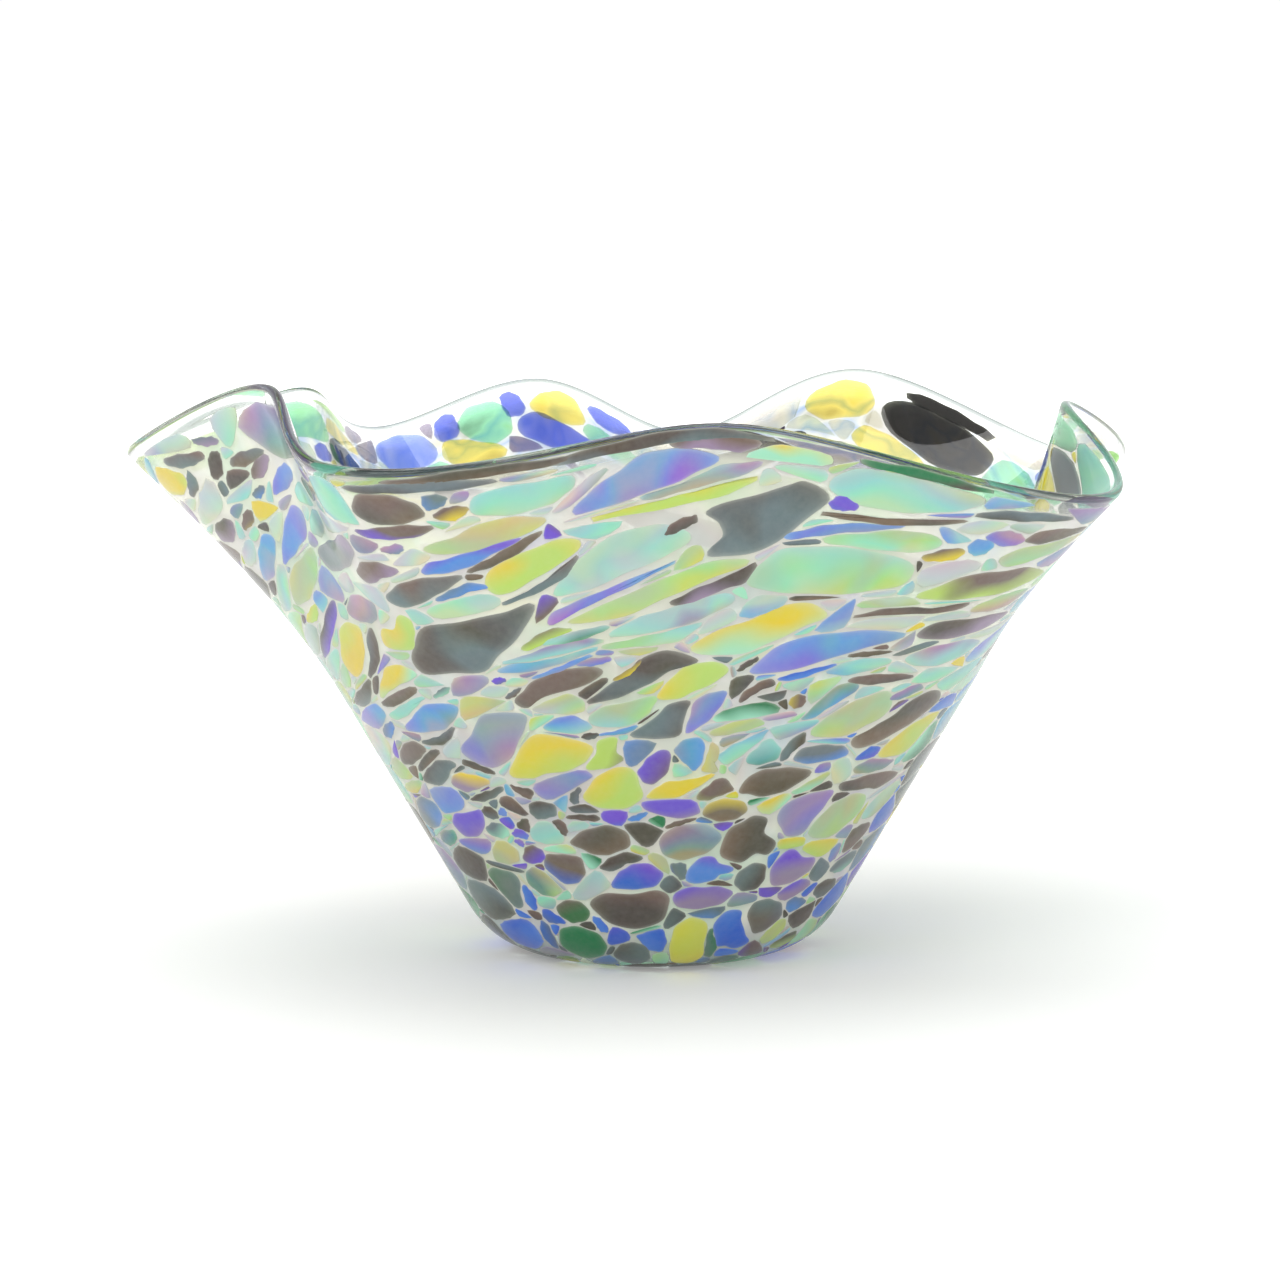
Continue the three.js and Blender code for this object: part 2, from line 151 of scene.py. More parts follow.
def degree_at(rise):
    """Length in mm of one degree round the wall, which stops growing where the folds begin."""
    return np.hypot(*np.moveaxis(outside(0.0, np.minimum(rise, FOLD_RISE)), -1, 0)[:2]) * math.pi / 180


def wall_thickness(rise):
    thin = np.clip(rise / THICK_RISE, 0, 1)
    return LIP_THICKNESS + (FLOOR_THICKNESS - LIP_THICKNESS) * (1 - thin)**2


# ---------------------------------------------------------------- mesh help

def make_piece(name, points, faces, material, attributes):
    """A smooth piece in metres, with float or colour attributes on its points."""
    mesh = bpy.data.meshes.new(name)
    mesh.from_pydata((np.asarray(points) * MM).tolist(), [], faces)
    mesh.update()
    for key, values in attributes.items():
        values = np.asarray(values, np.float32)
        if values.ndim == 1:
            mesh.attributes.new(key, "FLOAT", "POINT").data.foreach_set("value", values)
        else:
            rgba = np.concatenate([values, np.ones((len(values), 1), np.float32)], 1)
            mesh.attributes.new(key, "FLOAT_COLOR", "POINT").data.foreach_set("color", rgba.ravel())
    mesh.materials.append(material)
    mesh.shade_smooth()
    piece = bpy.data.objects.new(name, mesh)
    bpy.context.scene.collection.objects.link(piece)
    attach(piece, "root")
    return piece


def ring_faces(count, rings):
    """Quads between rings of equal count."""
    faces = []
    for ring in range(rings - 1):
        low = ring * count
        for i in range(count):
            j = (i + 1) % count
            faces.append((low + i, low + j, low + count + j, low + count + i))
    return faces


def closed_faces(count, rings, low, high):
    """Faces of a closed body of rings, with its first ring capped at point low and its last at high."""
    faces = ring_faces(count, rings)
    last = (rings - 1) * count
    for i in range(count):
        j = (i + 1) % count
        faces.append((low, j, i))
        faces.append((high, last + i, last + j))
    return faces


# ---------------------------------------------------------------- materials

def linear(red, green, blue):
    """Display colour, 0 to 255, as scene linear."""
    values = [c / 255 for c in (red, green, blue)]
    return tuple(c / 12.92 if c <= 0.04045 else ((c + 0.055) / 1.055)**2.4 for c in values)


class Nodes:
    """Short calls for building one material's node tree."""

    def __init__(self, name):
        self.material = bpy.data.materials.new(name)
        self.material.use_nodes = True
        self.tree = self.material.node_tree
        self.tree.nodes.clear()

    def add(self, kind, **settings):
        node = self.tree.nodes.new(kind)
        for key, value in settings.items():
            setattr(node, key, value)
        return node

    def link(self, output, socket):
        self.tree.links.new(output, socket)

    def fill(self, node, values):
        for key, value in values.items():
            socket = node.inputs[key]
            if isinstance(value, bpy.types.NodeSocket):
                self.link(value, socket)
            else:
                socket.default_value = value

    def attribute(self, name, output="Fac"):
        return self.add("ShaderNodeAttribute", attribute_name=name).outputs[output]

    def math(self, operation, a, b=0.0, clamp=False):
        node = self.add("ShaderNodeMath", operation=operation, use_clamp=clamp)
        self.fill(node, {0: a, 1: b})
        return node.outputs[0]

    def mix(self, factor, a, b):
        node = self.add("ShaderNodeMix", data_type="RGBA")
        rgba = [v if isinstance(v, bpy.types.NodeSocket) else (*v, 1.0) for v in (a, b)]
        self.fill(node, {0: factor, 6: rgba[0], 7: rgba[1]})
        return node.outputs[2]

    def noise(self, vector, scale, detail=2.0, distortion=0.0, phase=0.0):
        node = self.add("ShaderNodeTexNoise", noise_dimensions="4D")
        self.fill(node, {"Vector": vector, "W": phase, "Scale": scale, "Detail": detail,
                         "Distortion": distortion})
        return node.outputs["Fac"]

    def ramp(self, value, stops):
        node = self.add("ShaderNodeValToRGB")
        elements = node.color_ramp.elements
        while len(elements) < len(stops):
            elements.new(0.5)
        for element, (place, colour) in zip(elements, stops):
            element.position = place
            element.color = (*colour, 1.0)
        self.link(value, node.inputs[0])
        return node.outputs[0]

    def stretch(self, value, low, high):
        node = self.add("ShaderNodeMapRange", clamp=True)
        self.fill(node, {0: value, 1: low, 2: high})
        return node.outputs[0]

    def mixed_shader(self, factor, first, second):
        node = self.add("ShaderNodeMixShader")
        self.fill(node, {0: factor, 1: first, 2: second})
        return node.outputs[0]

    def finish(self, shader):
        output = self.add("ShaderNodeOutputMaterial")
        self.link(shader, output.inputs["Surface"])
        return self.material


# Colours of the glass: deep is the body, as the inside shows it, and lustre is
# the outside under its thin metallic film, with the film's pale sheen painted into the colour.
GLASS = {
    "charcoal": {"deep": linear(46, 43, 40), "lustre": linear(87, 77, 63)},
    "brown": {"deep": linear(80, 60, 48), "lustre": linear(122, 101, 86)},
    "yellow": {"deep": linear(252, 234, 40), "lustre": linear(238, 214, 34)},
    "lime": {"deep": linear(176, 220, 110), "lustre": linear(198, 228, 104)},
    "mint": {"deep": linear(140, 230, 184), "lustre": linear(172, 238, 208)},
    "emerald": {"deep": linear(4, 130, 70), "lustre": linear(8, 128, 70)},
    "blue": {"deep": linear(48, 116, 240), "lustre": linear(84, 148, 232)},
    "cobalt": {"deep": linear(10, 70, 224), "lustre": linear(44, 110, 216)},
    "violet": {"deep": linear(88, 50, 206), "lustre": linear(118, 80, 220)},
    "lilac": {"deep": linear(134, 110, 146), "lustre": linear(164, 142, 172)},
    "slate": {"deep": linear(80, 100, 104), "lustre": linear(110, 128, 130)},
    "cream": {"deep": linear(236, 232, 214), "lustre": linear(224, 226, 208)},
}
CREAM = linear(238, 240, 226)
# How much of the film's rainbow, a painted iridescent sheen, is mixed into a glass's colour, and where it
# isn't the usual amount.
USUAL_FILM = 0.36
FILM = {"charcoal": 0.03, "brown": 0.04, "slate": 0.06, "cobalt": 0.04, "emerald": 0.03, "violet": 0.06,
        "yellow": 0.07}
RIM_CREAM = 0.4  # how much cream a chip's rim takes on
GLOW = 0.3  # share of the light on a chip that shows on its other side
# Where a chip is thin it is this clear, and this much paler to look through.
THIN_CLEAR = 0.93
THIN_PALE = 0.45
DARK_PALE = 0.1
DARK = ("charcoal", "brown", "slate")
WHITE = (1.0, 1.0, 1.0)


def chip_glass(name):
    """Opal glass with a drifting colour, a pastel lustre with the film's sheen painted in, a gloss, and clear
    where it is thin.
    """
    n = Nodes(name + "_glass")
    where = n.add("ShaderNodeTexCoord").outputs["Object"]
    phase = n.math("MULTIPLY", n.attribute("chance"), 20.0)
    thin = n.attribute("thin")
    skin = n.math("MULTIPLY", n.attribute("skin"), n.math("SUBTRACT", 1.0, thin))
    across = n.math("MULTIPLY", n.attribute("across"), 0.12)
    drift = n.stretch(n.math("ADD", n.noise(where, 48.0, 1.0, 0.5, phase), across), 0.42, 0.62)
    lustre = n.mix(drift, GLASS[name]["lustre"], n.attribute("blush", "Color"))
    # Painted sheen: noise bands of rainbow colour stand in for the film's iridescent reflection and are mixed
    # into the lustre colour.
    bands = n.math("SUBTRACT", n.noise(where, 40.0, 1.0, 0.8, phase), across)
    painted_film_sheen = n.ramp(bands, [
        (0.30, linear(232, 214, 120)), (0.42, linear(150, 220, 190)), (0.52, linear(140, 190, 226)),
        (0.62, linear(176, 150, 216)), (0.74, linear(226, 176, 176))])
    lustre = n.mix(FILM.get(name, USUAL_FILM), lustre, painted_film_sheen)
    grain = n.stretch(n.noise(where, 700.0, 3.0, 0.0, phase), 0.3, 0.7)
    lustre = n.mix(n.math("MULTIPLY", grain, 0.04), lustre, CREAM)
    shade = n.stretch(n.noise(where, 90.0, 2.0, 0.3, phase), 0.3, 0.7)
    deep = n.mix(n.math("MULTIPLY", shade, 0.3), GLASS[name]["deep"], n.attribute("blush", "Color"))
    # The outside shows the lustre colour with its painted sheen, and the inside shows the deep body colour.
    colour = n.mix(skin, deep, lustre)
    colour = n.mix(n.math("MULTIPLY", n.attribute("rim"), RIM_CREAM), colour, CREAM)
    body = n.add("ShaderNodeBsdfPrincipled")
    rough = n.math("ADD", n.math("MULTIPLY", grain, 0.06), 0.1)
    n.fill(body, {"Base Color": colour, "Roughness": rough, "IOR": 1.5, "Coat Weight": 0.3,
                  "Coat Roughness": 0.04})
    if name not in FILM:
        film = n.math("ADD", n.math("MULTIPLY", n.noise(where, 30.0, 0.0, 0.6, phase), 500.0), 150.0)
        n.fill(body, {"Thin Film Thickness": film, "Thin Film IOR": 1.7})
    glow = n.add("ShaderNodeBsdfTranslucent")
    n.fill(glow, {"Color": colour})
    opal = n.mixed_shader(GLOW, body.outputs[0], glow.outputs[0])
    clear = n.add("ShaderNodeBsdfTransparent")
    n.fill(clear, {"Color": n.mix(DARK_PALE if name in DARK else THIN_PALE, colour, WHITE)})
    return n.finish(n.mixed_shader(n.math("MULTIPLY", thin, THIN_CLEAR), opal, clear.outputs[0]))


def wall_glass():
    """Clear glass whose outside, between the chips, is a pale cloudy cream, with painted shade greying the
    lip and darkening the cream at the foot.
    """
    n = Nodes("clear_wall_glass")
    where = n.add("ShaderNodeTexCoord").outputs["Object"]
    cloud = n.stretch(n.noise(where, 60.0, 3.0, 0.4), 0.3, 0.7)
    milk = n.attribute("milk")
    clear = n.add("ShaderNodeBsdfPrincipled")
    # Painted shade: towards the lip the clear glass is greyed, standing in for the dark refraction along its
    # rounded edge.
    body = n.mix(n.attribute("lip"), (0.96, 0.97, 0.962), linear(176, 186, 184))
    n.fill(clear, {"Base Color": body, "Roughness": 0.02, "IOR": 1.5, "Transmission Weight": 1.0})
    hue = n.noise(where, 34.0, 1.0, 0.6, 4.0)
    tint = n.ramp(hue, [(0.34, linear(222, 238, 216)), (0.46, linear(242, 241, 226)),
                        (0.56, linear(234, 228, 224)), (0.68, linear(224, 234, 232))])
    tint = n.mix(n.math("MULTIPLY", cloud, 0.3), tint, linear(214, 218, 200))
    mottle = n.ramp(n.noise(where, 70.0, 2.0, 0.5, 9.0), [
        (0.36, linear(176, 168, 164)), (0.44, linear(240, 240, 236)), (0.52, linear(140, 180, 240)),
        (0.6, linear(240, 242, 240)), (0.68, linear(240, 230, 150))])
    tint = n.mix(n.math("MULTIPLY", n.attribute("back"), 0.8), tint, mottle)
    # Painted shade: the cream darkens to a dark teal towards the foot, standing in for the refraction through
    # the thick glass there.
    tint = n.mix(n.attribute("foot"), tint, linear(62, 110, 108))
    pale = n.add("ShaderNodeBsdfPrincipled")
    n.fill(pale, {"Base Color": tint, "Roughness": 0.14, "IOR": 1.5, "Coat Weight": 0.5})
    glow = n.add("ShaderNodeBsdfTranslucent")
    n.fill(glow, {"Color": tint})
    cloudy = n.mixed_shader(0.4, pale.outputs[0], glow.outputs[0])
    amount = n.math("MULTIPLY", milk, n.math("ADD", n.math("MULTIPLY", cloud, 0.25), 0.7), clamp=True)
    glass = n.mixed_shader(amount, clear.outputs[0], cloudy)
    through = n.add("ShaderNodeBsdfTransparent")
    n.fill(through, {"Color": (0.9, 0.93, 0.9, 1)})
    shadow = n.add("ShaderNodeLightPath").outputs["Is Shadow Ray"]
    passing = n.math("MULTIPLY", shadow, n.math("SUBTRACT", 1.0, amount))
    return n.finish(n.mixed_shader(passing, glass, through.outputs[0]))


# ---------------------------------------------------------------- the wall

WALL_TURNS = 480
MILK_END = 152.5  # rise where the cloudy outside gives way to the clear lip
MILK_FADE = 4.0
# The cloudy glass is mottled behind the axis, fully from BACK_FADE on, and above the height BACK_LOW.
BACK_FADE = 30.0
BACK_LOW = 85.0
BACK_SPAN = 20.0
FOOT_SHADE_HEIGHT = 12.0  # height up to which the cream is darkened to teal: painted shade for the dark refraction through the thick glass at the foot
LIP_SHADE_RISE = 153.5  # rise above which the drawn-out lip's glass is greyed: painted shade for the dark refraction along its rounded edge


# Share of painted shade greying the lip's glass, growing over one lip thickness.
def lip_painted_shade(rise):
    return np.clip((rise - LIP_SHADE_RISE) / LIP_THICKNESS, 0, 1)


def build_wall():
    turns = np.arange(WALL_TURNS) * 360 / WALL_TURNS
    lip_end = LIP_RISE - LIP_THICKNESS / 2
    low = np.linspace(0, CORNER_RISE, 14)[:-1]
    cone = np.linspace(CORNER_RISE, CONE_RISE, 16)[:-1]
    flare = np.linspace(CONE_RISE, lip_end, 44)
    rises = np.concatenate([low, cone, flare])
    rings = [outside(turns, rise) for rise in rises]
    milk = [np.clip((MILK_END - rise) / MILK_FADE, 0, 1) for rise in rises]
    lip = [lip_painted_shade(rise) for rise in rises]
    normal, up = wall_frame(turns, lip_end)
    half = LIP_THICKNESS / 2
    for a in np.linspace(0, math.pi, 14)[1:-1]:
        rings.append(outside(turns, lip_end) - normal * half * (1 - math.cos(a)) + up * half * math.sin(a))
        milk.append(0.0)
        lip.append(1.0)
    for rise in rises[::-1]:
        rings.append(wall_points(turns, rise, np.full(WALL_TURNS, -wall_thickness(rise))))
        milk.append(0.0)
        lip.append(lip_painted_shade(rise))
    points = np.concatenate(rings + [np.array([[0, 0, 0], [0, 0, FLOOR_THICKNESS]])])
    faces = closed_faces(WALL_TURNS, len(rings), len(points) - 2, len(points) - 1)
    behind = np.clip(points[:, 1] / BACK_FADE, 0, 1)
    high = np.clip((points[:, 2] - BACK_LOW) / BACK_SPAN, 0, 1)
    attributes = {
        "milk": np.concatenate([np.repeat(milk, WALL_TURNS), [1.0, 0.0]]),
        "lip": np.concatenate([np.repeat(lip, WALL_TURNS), [0.0, 0.0]]),
        "back": behind * high,
        "foot": np.clip(1 - points[:, 2] / FOOT_SHADE_HEIGHT, 0, 1),
    }
    wall = make_piece("clear_gather", points, faces, wall_glass(), attributes)
    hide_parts("clear_wall")


build_wall()


# ---------------------------------------------------------------- chips

# The larger chips, which are nodes of the CAD model: name, glass, second hue,
# and outline as (turn, rise) points.
CHIPS = [
    ("charcoal_slab", "charcoal", "slate", [(229.7, 103.5), (232, 109.5), (236, 116.2), (243, 118.8),
     (249, 121), (253.3, 122.8), (250.5, 114.8), (246.5, 109), (243, 103.4), (237, 101.8), (231, 100.3)]),
    ("blue_leaf", "blue", "slate", [(218.5, 77), (222, 80.8), (225.5, 86), (229.5, 88.8), (235, 88.8),
     (232.5, 82.5), (229.5, 79.2), (223.5, 77.2)]),
    ("lilac_leaf", "lilac", "violet", [(231.5, 72.6), (235.5, 78), (239.5, 85.8), (243, 87.6), (247.6, 88),
     (247.4, 83.5), (245.5, 78.5), (242.5, 72.5), (237.5, 69.2)]),
    ("yellow_leaf", "yellow", "lime", [(241.3, 67.6), (244, 73), (247.5, 78.6), (252, 79.4), (258.8, 76.8),
     (257.5, 73), (254.5, 70.5), (249, 68.6), (245, 66.8)]),
    ("yellow_oval", "yellow", "lime", [(255.8, 62), (258, 66.5), (261.5, 70), (265.5, 71), (267, 66.5),
     (267.2, 62), (263.5, 59.3), (258.5, 59.8)]),
    ("brown_streak", "brown", "charcoal", [(246.6, 92.2), (248.5, 96), (251, 100.4), (255, 103.6),
     (260, 104.8), (262, 103), (258, 98.6), (252, 95.4), (248.6, 90.6)]),
    ("charcoal_leaf", "charcoal", "slate", [(259.2, 92.8), (261, 96.2), (265, 102), (268.5, 107.2),
     (272, 108.8), (276.8, 106.2), (272.5, 103.6), (268.5, 99.2), (264, 95)]),
    ("dark_wedge", "charcoal", "slate", [(266, 80.4), (269.5, 86.4), (272.3, 92.2), (275.6, 93.4),
     (274.9, 88), (274, 80.6), (270, 79.4)]),
    ("blue_wedge", "blue", "violet", [(275.4, 81.2), (276, 87), (276.8, 93.8), (279.5, 96.2), (281.6, 96),
     (280.4, 90.5), (278.2, 85.2)]),
    ("gold_wedge", "yellow", "lime", [(270.6, 95), (272, 99.5), (274.5, 104), (278.5, 105.4), (281.5, 104),
     (280.3, 100.8), (276.5, 97.2), (273.5, 94.4)]),
    ("gold_slab", "yellow", "mint", [(275.5, 109.6), (279.8, 114), (285, 117), (289, 120.2), (293.5, 121),
     (296, 118.6), (292.5, 115.4), (288, 111.4), (284, 108.2), (279, 107.6)]),
    ("cobalt_slab", "blue", "violet", [(285, 102.6), (287.5, 107.5), (291, 111.2), (297, 113.6),
     (303, 114.8), (310, 114), (305.5, 110.8), (300.5, 108), (295, 104.8), (289, 102.4)]),
    ("charcoal_hook", "charcoal", "slate", [(277.5, 131), (279.5, 134.5), (279, 137.5), (277, 139.6),
     (283, 142.3), (288, 145), (290.3, 146.7), (293.5, 144.3), (290, 138.8), (286.3, 133.5), (282, 131.2)]),
    ("blue_lip_leaf", "blue", "violet", [(260, 142.2), (261.8, 145.5), (265, 148.4), (268.5, 150.8),
     (273, 150.8), (278.6, 149.3), (275.5, 147), (271.5, 145.2), (265.5, 143.2)]),
    ("mint_leaf", "mint", "cream", [(256.2, 125.2), (259, 131), (264, 136.2), (270, 137.8), (274.8, 135.4),
     (272.5, 132.2), (266, 128.6), (260, 125.6)]),
    ("yellow_streak", "yellow", "lime", [(247.6, 128.6), (249.5, 132.6), (253, 135.2), (257, 137.2),
     (260.2, 136.6), (258.8, 133.5), (255, 130.2), (251.5, 127.4), (249, 126)]),
    ("umber_streak", "brown", "slate", [(231.6, 122.8), (233.2, 125.8), (236.5, 128.6), (240.5, 130.4),
     (245, 131), (242.5, 128.2), (239, 124.8), (235, 122)]),
    ("lime_streak", "lime", "yellow", [(257.5, 117.8), (263, 121.5), (270, 125.6), (277, 129.2),
     (283.5, 130), (278, 126.2), (271, 122), (264, 118.2)]),
    ("mint_slab", "mint", "lime", [(283.4, 125), (285.5, 129.8), (288.5, 133), (294, 134.4), (301, 134.8),
     (306.5, 133), (306, 128.2), (301, 125.6), (295, 124), (288, 123.6)]),
    ("lime_lip_slab", "lime", "mint", [(293.5, 146), (294.8, 149.6), (299, 151.8), (305, 152), (311.5, 151),
     (309, 147.6), (304, 145.4), (298, 144.4)]),
    ("brown_lip_chip", "brown", "charcoal", [(234.8, 145), (236.2, 149.4), (240.5, 149.8), (243, 147.8),
     (242.8, 145.2), (238.5, 143.4)]),
    ("umber_right", "brown", "lime", [(308.9, 125.2), (312, 128.8), (315.5, 132.4), (320, 133.6),
     (325, 134.8), (331, 132.4), (326, 128.4), (320, 126.2), (313.5, 124.8)]),
    ("charcoal_right", "charcoal", "lilac", [(312, 114.2), (315, 117.6), (320, 118.4), (326, 119.4),
     (331, 119), (328, 115.2), (322, 112.8), (314.5, 112.4)]),
    ("lilac_right", "lilac", "mint", [(312.3, 105.4), (315, 108.6), (320, 110), (326, 110.8), (329.5, 108.5),
     (326, 104.6), (321, 102.2), (316, 103)]),
    ("lime_right", "lime", "yellow", [(298.8, 79), (300.5, 84.5), (304, 89.6), (308.5, 92.6), (312.6, 93.4),
     (314.6, 86), (311.5, 81), (305.5, 77.6)]),
    ("charcoal_band", "charcoal", "brown", [(308.6, 76.2), (312.5, 78.8), (316.5, 83), (319.5, 88),
     (323.5, 91), (328, 90), (329.5, 85.6), (326, 80.6), (321, 77.2), (316, 74.6), (311, 73.4)]),
    ("yellow_right", "yellow", "lime", [(317.8, 70.6), (320.5, 74.6), (325, 78.2), (330, 79.8),
     (333.5, 79.4), (331, 74.8), (328.5, 70.6), (322.5, 69.4)]),
    ("slate_pill", "slate", "blue", [(296.6, 72.6), (298.5, 75), (304, 75.2), (307.6, 74), (308.6, 71.8),
     (305, 71), (299, 71)]),
    ("umber_pebble", "brown", "charcoal", [(286.8, 64), (289, 68.2), (292, 69.6), (296.5, 69.6),
     (301.5, 67.8), (298, 63.8), (293.5, 62.2), (289, 63)]),
    ("lilac_pebble", "lilac", "violet", [(297.3, 57), (300, 60.4), (304, 61.4), (309, 61.6), (309, 58.4),
     (307, 54), (305, 49.8), (301.2, 49.8), (298.6, 53)]),
    ("lime_pebble", "lime", "lilac", [(307.2, 49.6), (309, 54.4), (311.7, 57.8), (316, 59.6), (320.5, 58.4),
     (322, 54.4), (318.5, 50.2), (313.5, 47.6)]),
    ("charcoal_pebble", "charcoal", "brown", [(285.2, 46.6), (286.6, 52.4), (289.5, 54.8), (292, 56.4),
     (294.6, 55.2), (295, 51), (298.8, 47.6), (298, 44.8), (294.4, 45.2), (291, 43.2), (287.5, 44)]),
    ("grey_oval", "mint", "slate", [(271.2, 49), (273.2, 52.8), (277, 54.6), (281, 54.4), (284.6, 51.2),
     (283.6, 47.6), (280.5, 45.6), (276, 44.6), (272.6, 45.8)]),
    ("dark_oval", "brown", "charcoal", [(250.8, 48.8), (253.5, 51.6), (258, 53.6), (261.5, 54),
     (264.2, 51.6), (264, 48.4), (260.5, 46.2), (257.5, 45.6), (253.8, 47)]),
    ("violet_leaf", "violet", "cobalt", [(259.6, 36.2), (261.4, 40.2), (264.5, 42.6), (268.5, 43),
     (272, 40.4), (270.4, 37.2), (265.5, 35.8)]),
    ("violet_pebble", "violet", "lilac", [(275, 32.4), (277.2, 35.4), (282, 36), (287.5, 35.6),
     (290.8, 33.6), (288.5, 31), (283, 30), (277.5, 30.2)]),
    ("violet_right", "violet", "lilac", [(300.4, 38.6), (301.7, 43.6), (304.8, 45.4), (308.3, 42.6),
     (313.4, 41.2), (313.3, 38.2), (309, 35.8), (303, 35)]),
    ("maroon_pebble", "brown", "charcoal", [(252.8, 30.6), (255.5, 33.4), (260, 34.2), (266, 34.2),
     (271, 35.2), (273.8, 32.8), (273.4, 28.6), (271, 25.6), (264.5, 24.2), (258.8, 24.8), (254.7, 27.4)]),
    ("emerald_base", "emerald", "emerald", [(238.8, 16.5), (240.2, 21.2), (244, 23.2), (249, 23.2),
     (253.2, 21.4), (254.4, 18.2), (253.2, 15), (249, 12.5), (243.5, 12)]),
    ("yellow_base", "yellow", "lime", [(275.2, 17.6), (275.7, 22.6), (277.8, 25.4), (281, 26.8),
     (285.2, 25.2), (285.6, 19), (286.4, 13), (284, 9.6), (278.5, 9.8), (276.2, 13)]),
    ("cobalt_base", "cobalt", "blue", [(287.8, 25.2), (291, 28.2), (294.5, 28.2), (296, 25.4), (298.6, 21),
     (301.2, 18.2), (298.3, 16), (294, 17.4), (290.8, 18), (288.8, 21.4)]),
    ("teal_pebble", "slate", "emerald", [(222.1, 36), (224.4, 38.3), (229, 38.4), (232.4, 36.8),
     (231.2, 32.4), (229.8, 28), (226.5, 28), (223.4, 32)]),
    ("violet_left", "violet", "lilac", [(217.7, 50.6), (220.5, 53.2), (225.5, 54.4), (229.4, 56),
     (229.6, 53.6), (227, 49.2), (223, 47.4), (219, 47.8)]),
    ("yellow_left", "yellow", "lime", [(206.7, 97.4), (208.7, 103.2), (211.5, 108.2), (215.5, 110.4),
     (218.4, 109.8), (216.8, 104), (213.8, 98), (209.5, 93.8)]),
    ("blue_left", "blue", "violet", [(201.7, 123.4), (204, 127.2), (207, 131.4), (210, 134.4),
     (212.7, 133.8), (212, 129.6), (208.5, 127), (204.5, 124.6)]),
    ("back_charcoal", "charcoal", "charcoal", [(49.5, 143), (50, 147.8), (55, 150.5), (59.5, 149.8),
     (59.4, 145.5), (54, 142)]),
    ("back_lemon", "yellow", "yellow", [(62.2, 147), (62.6, 151), (66, 152), (69, 150), (66.5, 145.6)]),
    ("back_gold", "yellow", "yellow", [(54, 139.5), (58.2, 142.6), (61.6, 143.6), (61.8, 140.6),
     (57, 138.4)]),
    ("back_yellow", "yellow", "yellow", [(100.4, 147.6), (101.4, 151.6), (104.5, 152), (107, 149.6),
     (105, 147)]),
    ("back_cobalt", "cobalt", "cobalt", [(99.4, 143.4), (103, 145.3), (107.4, 147.6), (109.2, 145),
     (106.5, 141.8), (103, 140.6)]),
    ("back_mint", "mint", "mint", [(110.6, 145.4), (111.8, 150.6), (115.5, 151.8), (116.8, 148),
     (113.5, 143.8)]),
    ("back_amber", "yellow", "yellow", [(112, 140.9), (115.5, 144.2), (119.5, 146.4), (119.6, 142.6),
     (115.5, 139.6)]),
    ("back_pale_blue", "blue", "cream", [(121.8, 144.2), (122.3, 149.6), (126.5, 151.4), (130.2, 148.6),
     (128.8, 143.8)]),
    ("back_slate", "slate", "blue", [(138.3, 141.3), (142.5, 144.4), (148.2, 145), (148.4, 141.6),
     (143, 139.8)]),
    ("lobe_green", "lime", "mint", [(20.5, 146.8), (24, 151), (30, 152), (35.4, 150.5), (31.5, 147),
     (25, 145.3)]),
    ("lobe_blue", "blue", "violet", [(33.5, 143.8), (37.2, 147), (41.5, 149.8), (43.8, 147.8), (40.8, 144),
     (36.5, 141.8)]),
]

